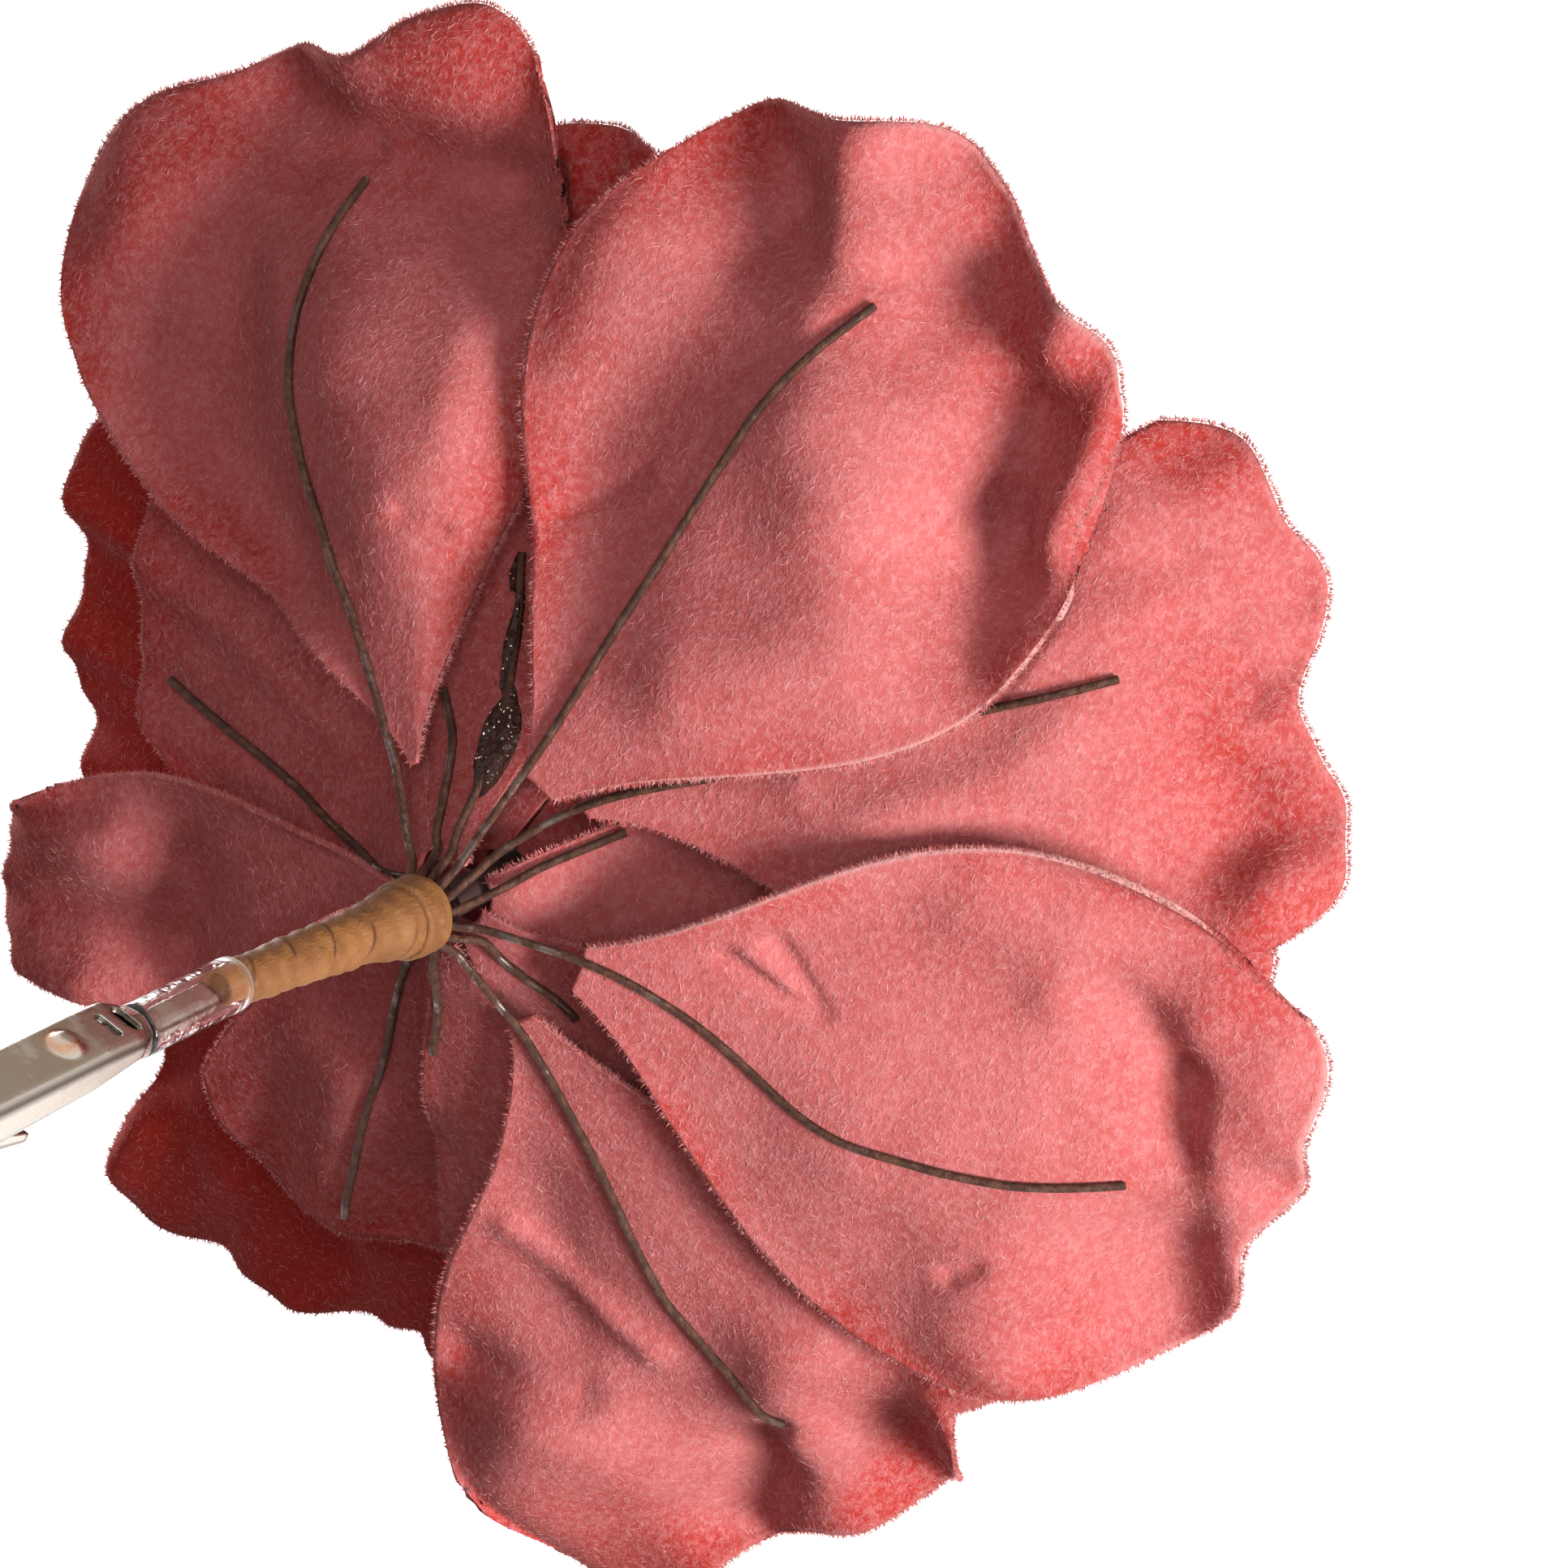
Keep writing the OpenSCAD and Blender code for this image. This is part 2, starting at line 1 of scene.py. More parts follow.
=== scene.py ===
# %% [markdown]
# # A wired fabric flower on a sprung hair clip
# A maker cuts each petal from flocked fabric, presses it into a cup, glues a paper-covered wire along its
# back, and winds all the wires into one taped stem. A clear sleeve joins the stem to a metal hair clip.
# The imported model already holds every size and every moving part, so this script starts from it and
# gives each piece the shape and finish that cloth, paper, plastic and nickel have.

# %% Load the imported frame
import bpy
import bmesh
import math
import numpy as np
from mathutils import Matrix, Vector


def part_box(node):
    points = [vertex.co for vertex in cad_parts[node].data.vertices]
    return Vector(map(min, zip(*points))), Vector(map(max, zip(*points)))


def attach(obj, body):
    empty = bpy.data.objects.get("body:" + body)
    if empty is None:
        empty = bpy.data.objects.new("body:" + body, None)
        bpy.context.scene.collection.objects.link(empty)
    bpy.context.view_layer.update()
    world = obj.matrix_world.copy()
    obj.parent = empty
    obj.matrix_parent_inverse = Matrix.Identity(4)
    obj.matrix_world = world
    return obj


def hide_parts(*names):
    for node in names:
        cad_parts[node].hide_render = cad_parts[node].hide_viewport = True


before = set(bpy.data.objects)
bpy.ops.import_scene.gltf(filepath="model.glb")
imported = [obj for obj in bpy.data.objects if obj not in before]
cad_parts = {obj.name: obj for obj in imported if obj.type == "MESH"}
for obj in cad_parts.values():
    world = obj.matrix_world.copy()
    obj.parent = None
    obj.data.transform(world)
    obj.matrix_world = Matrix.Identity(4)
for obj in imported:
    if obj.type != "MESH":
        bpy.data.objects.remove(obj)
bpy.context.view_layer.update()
MM = 0.001

def add_object(name, data):
    thing = bpy.data.objects.new(name, data)
    bpy.context.collection.objects.link(thing)
    return thing

FLOWER = "clip_and_flower"
JAW = "lower_jaw"

# %% [markdown]
# ## Where the flower sits
# The stem's core reaches from the sleeve to the flower. The hub, the point that every petal is measured
# from, comes from the bud core's box: its middle across, and BUD_START back from its foot along +Y. A
# petal's place is then a bearing round the hub, a radius, and a depth along the flower's own axis, +Y.

# %% The hub, in millimetres
def box_mm(node):
    low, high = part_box(node)
    return np.array(low) / MM, np.array(high) / MM

sleeve_low, sleeve_high = box_mm("clear_sleeve")
bud_low, bud_high = box_mm("bud_core")
RIM_GAP = 1.6
BUD_START = 15.0
hub = np.array([(bud_low[0] + bud_high[0]) / 2, bud_low[1] - BUD_START, (bud_low[2] + bud_high[2]) / 2])
print("hub mm", hub.round(2), "sleeve", sleeve_low.round(2), sleeve_high.round(2))

# %% [markdown]
# ## The camera
# The flower is seen from behind and above, over the clip's flat back, with the camera rolled so that the
# clip runs out of the lower left corner. A long lens from about 0.7 m keeps the petals from bulging.
# The camera is made first, because everything after it is judged through it.

# %% Camera
VIEW_AZIMUTH = math.radians(22)
VIEW_ELEVATION = math.radians(31)
VIEW_ROLL = math.radians(25)
VIEW_DISTANCE = 0.69
LENS_MM = 186.4
AIM_RIGHT = 0.0297
AIM_UP = 0.0106

back = Vector((math.sin(VIEW_AZIMUTH) * math.cos(VIEW_ELEVATION),
               -math.cos(VIEW_AZIMUTH) * math.cos(VIEW_ELEVATION),
               math.sin(VIEW_ELEVATION)))
level_right = Vector((math.cos(VIEW_AZIMUTH), math.sin(VIEW_AZIMUTH), 0))
level_up = back.cross(level_right)
view_right = level_right * math.cos(VIEW_ROLL) + level_up * math.sin(VIEW_ROLL)
view_up = level_up * math.cos(VIEW_ROLL) - level_right * math.sin(VIEW_ROLL)
aim = Vector(hub * MM) + view_right * AIM_RIGHT + view_up * AIM_UP

camera_data = bpy.data.cameras.new("camera")
camera_data.lens = LENS_MM
camera_data.clip_start = 0.01
camera = add_object("camera", camera_data)
camera.matrix_world = Matrix((
    (view_right.x, view_up.x, back.x, aim.x + back.x * VIEW_DISTANCE),
    (view_right.y, view_up.y, back.y, aim.y + back.y * VIEW_DISTANCE),
    (view_right.z, view_up.z, back.z, aim.z + back.z * VIEW_DISTANCE),
    (0, 0, 0, 1)))
bpy.context.scene.camera = camera
print("camera at", [round(x, 3) for x in camera.matrix_world.translation])

# %% [markdown]
# ## Shaders as arithmetic
# A procedural material is mostly sums: this noise times that mask, plus a little of another. Wiring each
# Math node by hand hides the idea, so a small class wraps a socket and turns + - * into Math nodes.
# Everything else, such as a noise or a colour mix, comes from one method of the same drawing board.

# %% Shader helpers
class Value:
    """A number that varies over a surface: one output socket, with arithmetic."""

    def __init__(self, board, socket):
        self.board = board
        self.socket = socket

    def _math(self, operation, a, b):
        return self.board.node("ShaderNodeMath", {"operation": operation}, {0: a, 1: b})

    def __add__(self, other):
        return self._math("ADD", self, other)

    def __radd__(self, other):
        return self._math("ADD", other, self)

    def __rsub__(self, other):
        return self._math("SUBTRACT", other, self)

    def __mul__(self, other):
        return self._math("MULTIPLY", self, other)

    def __rmul__(self, other):
        return self._math("MULTIPLY", other, self)


class Board:
    """One material's node tree."""

    def __init__(self, name):
        self.material = bpy.data.materials.new(name)
        self.material.use_nodes = True
        self.nodes = self.material.node_tree.nodes
        self.links = self.material.node_tree.links
        self.nodes.clear()

    def node(self, kind, settings=None, sockets=None, out=0):
        node = self.nodes.new(kind)
        for key, setting in (settings or {}).items():
            setattr(node, key, setting)
        for key, value in (sockets or {}).items():
            if isinstance(value, Value):
                self.links.new(value.socket, node.inputs[key])
            else:
                node.inputs[key].default_value = value
        return Value(self, node.outputs[out])

    def place(self):
        return self.node("ShaderNodeTexCoord", out="Object")

    def number(self, name):
        """A number that the mesh carries at every point."""
        return self.node("ShaderNodeAttribute", {"attribute_name": name}, out="Fac")

    def noise(self, where, scale, detail=3.0, roughness=0.6):
        return self.node("ShaderNodeTexNoise", {}, {
            "Vector": where, "Scale": scale, "Detail": detail, "Roughness": roughness})

    def stretch(self, where, scale):
        return self.node("ShaderNodeMapping", {}, {"Vector": where, "Scale": scale})

    def between(self, value, low, high, to_low=0.0, to_high=1.0):
        return self.node("ShaderNodeMapRange", {"interpolation_type": "SMOOTHSTEP"}, {
            "Value": value, "From Min": low, "From Max": high, "To Min": to_low, "To Max": to_high})

    def mix(self, factor, a, b):
        a, b = (colour if isinstance(colour, Value) else (*colour, 1) for colour in (a, b))
        return self.node("ShaderNodeMix", {"data_type": "RGBA"}, {0: factor, 6: a, 7: b}, out=2)

    def bump(self, height, distance, strength=1.0):
        return self.node("ShaderNodeBump", {}, {
            "Height": height, "Distance": distance, "Strength": strength})

    def finish(self, **sockets):
        shader = self.nodes.new("ShaderNodeBsdfPrincipled")
        output = self.nodes.new("ShaderNodeOutputMaterial")
        for key, value in sockets.items():
            socket = shader.inputs[key.replace("_", " ")]
            if isinstance(value, Value):
                self.links.new(value.socket, socket)
            else:
                socket.default_value = value
        self.links.new(shader.outputs[0], output.inputs[0])
        return self.material


# %% [markdown]
# ## Flocked fabric
# Flocking is a coat of short fibres stood on end. Lit from the side it looks pale and dusty, and where
# light only seeps in it stays a deep red. Two sizes of mottling and a fine fleck give the places where the
# pile is brushed one way or the other, and a weak sheen adds a little bloom. Each petal carries three
# numbers: how far its cloth leans from rose to deep red, where its border took more dye, and where the cut
# edge shows the pile's pale ends.

# %% Velvet
BORDER_DYE = (0.40, 0.022, 0.014)
CUT_PILE = (0.62, 0.36, 0.34)
SHEEN_TINT = (1.0, 0.62, 0.6, 1)

def velvet(name, rose, deep, dust):
    board = Board(name)
    place = board.place()
    tone = board.number("tone")
    edge = board.number("edge")
    brushed = board.between(board.noise(place, 120, 4), 0.38, 0.66)
    pile = board.between(board.noise(place, 1300, 4, 0.7), 0.36, 0.68)
    fleck = board.between(board.noise(board.stretch(place, (1, 1, 0.4)), 3400, 2, 0.6), 0.52, 0.72)
    dyed = board.number("rim") * board.between(board.noise(place, 48, 2), 0.36, 0.60)
    colour = board.mix(tone, rose, deep)
    colour = board.mix(dyed * 0.85, colour, BORDER_DYE)
    colour = board.mix(brushed * 0.3, colour, deep)
    colour = board.mix(pile * 0.25, colour, dust)
    colour = board.mix(fleck * 0.3, colour, dust)
    colour = board.mix(edge * 0.75, colour, CUT_PILE)
    height = pile * 0.7 + fleck * 0.5
    return board.finish(
        Base_Color=colour, Roughness=0.8, Specular_IOR_Level=0.03,
        Sheen_Weight=0.12, Sheen_Roughness=0.5, Sheen_Tint=SHEEN_TINT,
        Normal=board.bump(height, 0.00012, 0.7))

rose_velvet = velvet("rose velvet", (0.48, 0.118, 0.116), (0.30, 0.018, 0.012), (0.74, 0.36, 0.37))
deep_velvet = velvet("deep velvet", (0.46, 0.050, 0.040), (0.36, 0.014, 0.007), (0.55, 0.10, 0.08))

# %% [markdown]
# ## The shared bowl
# Petals that are wired into one flower press against each other, so they all follow one bowl, each a
# little further in than the last. A petal is described by the bearings of its two edges, by how far it
# reaches, and by its layer. The same rule made the plain shells in the frame, so the cloth lands on them.

# %% The bowl and the petals' outlines
FLOWER_R = 66.0
CUP_DEPTH = 24.0
CUP_LEAN = 8.0
CUP_BEARING = 25.0
CUP_POWER = 1.3
LAYER_GAP = 2.2
HUB_GAP = 0.9
PETAL_T = 0.55
CORNER_CUT = 0.05
WHORL_LAYER = 7
WHORL_STEEP = 1.3
HEART_LAYER = 9
HEART_STEEP = 2.1

def soft(t):
    c = np.clip(t, 0, 1)
    return c * c * (3 - 2 * c)

def through3(k, t):
    return k[0] * (1 - t) * (1 - 2 * t) + 4 * k[1] * t * (1 - t) + k[2] * t * (2 * t - 1)

def along_knots(k, t):
    k = np.asarray(k, float)
    t = np.asarray(t, float)
    n = len(k) - 1
    i = np.minimum(np.floor(t * n).astype(int), n - 1)
    f = t * n - i
    if k.ndim > 1:
        f = f[..., None]
    a, b, c, d = k[np.maximum(i - 1, 0)], k[i], k[i + 1], k[np.minimum(i + 2, n)]
    return 0.5 * (2 * b + (c - a) * f + (2 * a - 5 * b + 4 * c - d) * f ** 2
                  + (3 * b - a - 3 * c + d) * f ** 3)

def layer_step(r):
    return HUB_GAP + (LAYER_GAP - HUB_GAP) * soft((r - 4) / 10)

def bowl_y(layer, r, bearing, steep):
    deep = CUP_DEPTH + CUP_LEAN * np.cos(np.radians(bearing - CUP_BEARING))
    return layer * layer_step(r) + steep * deep * (np.maximum(r, 0) / FLOWER_R) ** CUP_POWER

def at(r, bearing, y):
    a = np.radians(bearing)
    return np.stack([hub[0] + r * np.cos(a), hub[1] + y, hub[2] + r * np.sin(a)], -1)


class Petal:
    """An outline on the bowl, and the swells, folds and ruffles pressed into it."""

    def __init__(self, layer, start, low, high, reach, tone=0.0, ruffle=1.0, waves=3.0, phase=0.0,
                 curl=(0.0, 0.0, 0.0), pale=(0.2, 0.2), folds=()):
        self.layer = layer
        self.start = start
        self.low = low
        self.high = high
        self.reach = [FLOWER_R * x for x in reach]
        self.tone = tone
        self.ruffle = ruffle
        self.waves = waves
        self.phase = phase
        self.curl = curl
        self.folds = folds
        self.pale = pale
        self.steep = HEART_STEEP if layer >= HEART_LAYER else WHORL_STEEP if layer >= WHORL_LAYER else 1.0
        self.middle = (low[1] + high[1]) / 2

    def rim(self, u):
        return along_knots(self.reach, u) * (1 - CORNER_CUT * np.abs(2 * u - 1) ** 8)

    def polar(self, u, v):
        r = self.start + (self.rim(u) - self.start) * v
        return r, through3(self.low, v) * (1 - u) + through3(self.high, v) * u

    def uv(self, r, bearing):
        """The place on the petal of a point of the bowl, found by a few corrections."""
        bearing = self.middle + (bearing - self.middle + 180) % 360 - 180
        u = np.full(np.shape(r), 0.5)
        for _ in range(5):
            v = (r - self.start) / (self.rim(np.clip(u, 0, 1)) - self.start)
            vc = np.clip(v, 0, 1)
            low, high = through3(self.low, vc), through3(self.high, vc)
            u = (bearing - low) / (high - low)
        return u, v

    def relief(self, r, bearing, u, v):
        """How far the cloth stands out towards the stem, in millimetres."""
        uc, vc = np.clip(u, 0, 1), np.clip(v, 0, 1)
        side = 2 * uc - 1
        free = vc ** 2.5
        wave = np.sin(2 * math.pi * (self.waves * uc + self.phase))
        small = np.sin(2 * math.pi * (self.waves * 2.3 * uc + 1.7 * self.phase + 0.35 * vc))
        out = self.ruffle * free * (wave + 0.35 * small)
        low_curl, high_curl, tip_curl = self.curl
        out = out + low_curl * np.clip(-side, 0, 1) ** 6 * soft(vc * 3)
        out = out + high_curl * np.clip(side, 0, 1) ** 6 * soft(vc * 3)
        out = out + tip_curl * vc ** 9
        x, z = r * np.cos(np.radians(bearing)), r * np.sin(np.radians(bearing))
        for b1, r1, b2, r2, spread, height in self.folds:
            p = np.array([r1 * math.cos(math.radians(b1)), r1 * math.sin(math.radians(b1))])
            q = np.array([r2 * math.cos(math.radians(b2)), r2 * math.sin(math.radians(b2))])
            d = q - p
            t = np.clip(((x - p[0]) * d[0] + (z - p[1]) * d[1]) / max(d @ d, 1e-6), 0, 1)
            gap = (x - p[0] - t * d[0]) ** 2 + (z - p[1] - t * d[1]) ** 2
            out = out + height * np.exp(-gap / spread ** 2)
        a = np.radians(bearing)
        out = out + 0.22 * vc * np.sin(0.31 * r + 3 * a + self.phase) * np.sin(9 * a - 0.12 * r)
        out = out + 0.10 * vc * np.sin(0.75 * r - 7 * a) * np.sin(17 * a + 0.3 * r + self.phase)
        return out

    def own_y(self, r, bearing):
        u, v = self.uv(r, bearing)
        turned = self.middle + (bearing - self.middle + 180) % 360 - 180
        return bowl_y(self.layer, r, bearing, self.steep) - self.relief(r, turned, u, v)

    def cover(self, r, bearing):
        """1 on the petal, fading to 0 a few millimetres outside it."""
        u, v = self.uv(r, bearing)
        width = np.radians(through3(self.high, np.clip(v, 0, 1)) - through3(self.low, np.clip(v, 0, 1))) * r
        beyond_side = np.maximum(np.abs(2 * u - 1) - 1, 0) * width / 2
        beyond_tip = np.maximum(v - 1, 0) * (self.rim(np.clip(u, 0, 1)) - self.start)
        before_base = np.maximum(self.start - r, 0)
        return soft(1 - np.sqrt(beyond_side ** 2 + beyond_tip ** 2 + before_base ** 2) / COVER_FADE)

COVER_FADE = 7.0
LEAST_GAP = 1.5
print("greatest depth of the bowl at its rim, mm", round(float(bowl_y(0, FLOWER_R, CUP_BEARING, 1)), 1))

# %% [markdown]
# Each petal's folds are pressed in with a heated ball and pinched by hand. A fold here is a line on the
# petal, from a bearing and radius to another, with a spread and a height: a wide one is a swell, a
# narrow one is a crease, and a negative one is a hollow as seen from the stem.

# %% Every petal
PETALS = {
    "petal_top_left": Petal(
        1, 12, [139, 114, 116], [142, 168, 166],
        [0.90, 1.09, 1.105, 1.07, 1.10, 1.11, 1.14, 1.11, 1.04],
        ruffle=0.5, waves=2.6, phase=0.15, curl=(-2.5, 2.2, 0.0),
        folds=[(131, 36, 136, 46, 10, 5.0), (121, 42, 122, 46, 5, 2.0), (163, 66, 156, 69, 8, 3.2),
               (133, 72, 127, 71, 8, 4.5), (144, 69, 126, 57, 5, -5.0), (120, 52, 122, 56, 4, -2.5),
               (118, 67, 115, 56, 2.2, 2.6), (161, 50, 160, 34, 7, -4.0), (151, 60, 152, 50, 5, -1.5),
               (143, 63, 137, 62, 1.2, -0.9), (129, 33, 124, 31, 1.0, -0.7), (148, 30, 146, 55, 2.2, 0.9)]),
    "petal_top": Petal(
        0, 14, [73, 50, 62], [86, 113, 109],
        [0.96, 1.04, 1.06, 1.035, 1.07, 1.10, 1.06, 1.03, 0.98],
        ruffle=0.5, waves=3.4, phase=0.4, curl=(0.5, 1.0, 0.0), pale=(1.0, 0.1),
        folds=[(103, 65, 98, 61, 5, -5.5), (94, 70, 91, 64, 5, 4.0), (88, 70, 83, 65, 4.5, -4.5),
               (75, 71, 74, 67, 4.5, 3.5), (78, 62, 80, 60, 4.5, -2.2), (109, 56, 108, 46, 5, 1.8),
               (82, 52, 76, 48, 8, 4.0), (72, 60, 65, 51, 4.5, -5.0), (65, 51, 58, 47, 4.5, -4.5),
               (68, 68, 62, 58, 3.5, 3.2), (54, 50, 56, 46, 4, 2.5), (72, 30, 62, 40, 6, 3.0),
               (104, 42, 102, 34, 6, -3.0), (96, 57, 90, 57, 2.5, 1.4), (107, 33, 98, 38, 1.1, -0.8),
               (98, 58, 86, 62, 1.2, -0.8)]),
    "petal_right": Petal(
        2, 13, [62, 20, 22], [76, 70, 66],
        [0.95, 1.01, 1.01, 0.99, 0.985, 1.03, 1.04, 1.06, 1.04],
        ruffle=0.7, waves=3.4, phase=0.7, curl=(1.5, 0.0, -3.0),
        folds=[(45, 38, 48, 50, 9, 4.5), (36, 58, 33, 58, 5.5, -3.5), (52, 67, 46, 66, 4.5, -3.0),
               (29, 62, 27, 62, 4, 2.5), (60, 66, 62, 62, 5, 2.5), (52, 60, 46, 61, 1.0, -0.9),
               (50, 62, 43, 62, 1.0, -0.9), (56, 62, 49, 66, 1.1, -0.8)]),
    "petal_lower_right": Petal(
        0, 13, [-3, -25, -22], [15, 37, 24],
        [0.94, 0.98, 1.02, 1.05, 1.03, 1.06, 1.06, 1.05, 0.99],
        ruffle=0.5, waves=3.0, phase=0.05, curl=(1.0, 2.2, 0.0), pale=(0.15, 1.0),
        folds=[(20, 24, 13, 31, 0.9, -0.7), (24, 28, 13, 32, 0.9, -0.8), (22, 26, 13, 31.5, 0.9, 0.5),
               (-4, 40, 2, 50, 9, 3.5), (20, 54, 14, 57, 3.2, -2.6), (20, 50, 22, 55, 2.5, 1.4),
               (12, 58, 7, 60, 3.0, -2.8),
               (9, 64, 11, 70, 4, 3.0), (-3, 62, -9, 64, 5, -5.0), (-17, 59, -13, 55, 7, 4.5),
               (18, 66, 20, 62, 5, 2.0), (26, 50, 29, 44, 4, 1.6), (0, 67, 4, 66, 3, 2.0),
               (-10, 52, -12, 51, 1.1, -1.0)]),
    "petal_bottom": Petal(
        1, 12, [-44, -76, -72], [-32, -18, -26],
        [1.06, 1.14, 1.12, 1.05, 1.02, 1.03, 1.00, 0.99, 0.95],
        ruffle=0.5, waves=2.8, phase=0.55, curl=(1.0, 0.8, 0.0),
        folds=[(-71, 63, -66, 56, 8.5, 6.0), (-54, 66, -49, 59, 4.2, -4.5), (-36, 50, -40, 55, 5, 3.0),
               (-36, 60, -38, 66, 5, -5.0), (-30, 64, -27, 60, 5, 3.5), (-75, 50, -62, 51, 2.4, -1.6),
               (-66, 34, -52, 46, 1.8, 1.2), (-50, 58, -42, 55, 1.3, -1.3), (-60, 30, -62, 44, 5, -1.5)]),
    "petal_bottom_under": Petal(
        2, 4, [-92, -85, -79], [-60, -44, -46], [0.76, 0.86, 0.90, 0.88, 0.80],
        tone=0.3, ruffle=0.8, phase=0.3, folds=[(-84, 30, -84, 50, 4, -2.0)]),
    "petal_lower_left": Petal(
        4, 3, [-122, -124, -118], [-70, -64, -66], [0.78, 0.80, 0.72, 0.66, 0.60],
        tone=0.2, ruffle=1.0, waves=2.2, phase=0.2, curl=(0.6, 0, 0.8),
        folds=[(-105, 34, -98, 44, 6, 2.5), (-88, 38, -90, 48, 3.5, -2.0)]),
    "petal_lower_left_deep": Petal(
        6, 10, [-120, -124, -122], [-80, -66, -76], [0.98, 1.17, 1.17, 1.09, 1.06, 1.00, 0.94, 0.96, 0.90],
        tone=0.9, ruffle=1.6, waves=3.3, phase=0.6,
        folds=[(-108, 62, -104, 70, 5, 2.5), (-118, 70, -116, 76, 4, 3.0), (-97, 60, -96, 68, 4, -2.5)]),
    "petal_left": Petal(
        1, 5, [-160, -161, -152], [-148, -127, -131],
        [0.80, 0.83, 0.87, 0.89, 0.92, 0.93, 0.91, 0.91, 0.86],
        tone=0.1, ruffle=0.6, waves=2.2, phase=0.35, curl=(1.0, 0.6, 0.0),
        folds=[(-150, 52, -148, 42, 6, 4.5), (-143, 36, -133, 40, 5.5, -4.5), (-132, 52, -136, 58, 5, 3.5)]),
    "petal_upper_left": Petal(
        3, 5, [150, 152, 158], [208, 208, 208], [0.88, 0.78, 0.70, 0.65, 0.54],
        tone=0.25, ruffle=1.1, waves=2.6, phase=0.1, curl=(0, 0.8, 0.8)),
    "petal_far_left": Petal(
        5, 8, [168, 164, 166], [207, 211, 213], [1.0, 0.97, 0.95, 0.94, 0.89, 0.87, 0.86, 0.84, 0.86],
        tone=0.9, ruffle=1.5, waves=3.6, phase=0.8),
    "petal_top_under": Petal(
        3, 3, [100, 100, 102], [150, 142, 138], [0.84, 0.92, 0.94, 0.90, 0.80],
        tone=0.35, ruffle=0.8, phase=0.5),
    "petal_right_under": Petal(
        4, 2.6, [-6, -4, 0], [62, 48, 44], [0.80, 0.90, 0.92, 0.90, 0.82],
        tone=0.0, ruffle=0.8, phase=0.9),
    "petal_low_under": Petal(
        3, 2.6, [-62, -52, -50], [5, -6, -8], [0.80, 0.88, 0.92, 0.90, 0.84],
        tone=0.1, ruffle=0.8, phase=0.25),
}
WHORL = [
    (7, -28, 0.58, 0.66, 0.70, 0.66, 0.60), (8, 32, 0.56, 0.66, 0.68, 0.68, 0.58),
    (7, 92, 0.58, 0.68, 0.70, 0.64, 0.58), (8, 152, 0.58, 0.64, 0.70, 0.68, 0.58),
    (7, 212, 0.56, 0.66, 0.68, 0.66, 0.60), (8, 272, 0.58, 0.68, 0.70, 0.66, 0.56),
]
for number, (layer, first, *reach) in enumerate(WHORL, 1):
    PETALS[f"whorl_petal_{number}"] = Petal(
        layer, 2.6, [first, first - 6, first - 2], [first + 56, first + 62, first + 58], reach,
        tone=0.45, ruffle=1.1, waves=2.5, phase=0.37 * number, curl=(0, 0, 1.5))
HEART = [(10, 0.40, 0.47, 0.50, 0.48, 0.40), (130, 0.41, 0.48, 0.50, 0.46, 0.40),
         (250, 0.40, 0.48, 0.51, 0.48, 0.41)]
for number, (first, *reach) in enumerate(HEART, 1):
    PETALS[f"heart_petal_{number}"] = Petal(
        HEART_LAYER, 2.6, [first, first - 8, first - 4], [first + 100, first + 108, first + 104], reach,
        tone=0.6, ruffle=0.9, waves=3.2, phase=0.23 * number, curl=(0, 0, 2.0))
print(len(PETALS), "petals on the bowl")

# %% [markdown]
# Cloth can't pass through cloth. Where one petal lies over another, the lower one gives way: its depth is
# pushed in until it clears every petal outside it, and the push fades out past that petal's edge.

# %% Lay the petals on each other
def placed_y(petal, r, bearing):
    y = petal.own_y(r, bearing)
    for other in PETALS.values():
        if other.layer >= petal.layer:
            continue
        covered = other.cover(r, bearing)
        if not covered.any():
            continue
        least = other.own_y(r, bearing) + LEAST_GAP * (petal.layer - other.layer)
        y = y + covered * np.maximum(least - y, 0)
    return y

def unit_grid(rows, cols, crowd=1.0):
    """u across and v along a grid, both 0 to 1; crowd draws the rows towards the start."""
    u = np.linspace(0, 1, cols)[None, :].repeat(rows, 0)
    v = (np.linspace(0, 1, rows) ** crowd)[:, None].repeat(cols, 1)
    return u, v

def grid_border(rows, cols):
    """The points round a grid's border in order, its first row coming first."""
    return np.concatenate([
        np.arange(cols - 1), np.arange(rows - 1) * cols + cols - 1,
        (rows - 1) * cols + np.arange(cols - 1, 0, -1), np.arange(rows - 1, 0, -1) * cols])

def grid_faces(rows, cols, start, flip):
    """The quads of a grid of rows by cols points, as index rows."""
    k = (np.arange(rows - 1)[:, None] * cols + np.arange(cols - 1)[None, :]).ravel() + start
    quads = np.stack([k, k + 1, k + cols + 1, k + cols], 1)
    return quads[:, ::-1] if flip else quads

def mesh_piece(name, points_mm, faces, material, smooth=True):
    mesh = bpy.data.meshes.new(name)
    mesh.from_pydata((np.asarray(points_mm) * MM).tolist(), [], [list(f) for f in faces])
    mesh.materials.append(material)
    mesh.polygons.foreach_set("use_smooth", [smooth] * len(mesh.polygons))
    mesh.update()
    return add_object(name, mesh)

def set_number(piece, name, values):
    attribute = piece.data.attributes.new(name, "FLOAT", "POINT")
    attribute.data.foreach_set("value", np.asarray(values, float).ravel())

def petal_surface(petal, cols, rows):
    u, v = unit_grid(rows, cols, 1.15)
    r, bearing = petal.polar(u, v)
    return u, v, at(r, bearing, placed_y(petal, r, bearing))

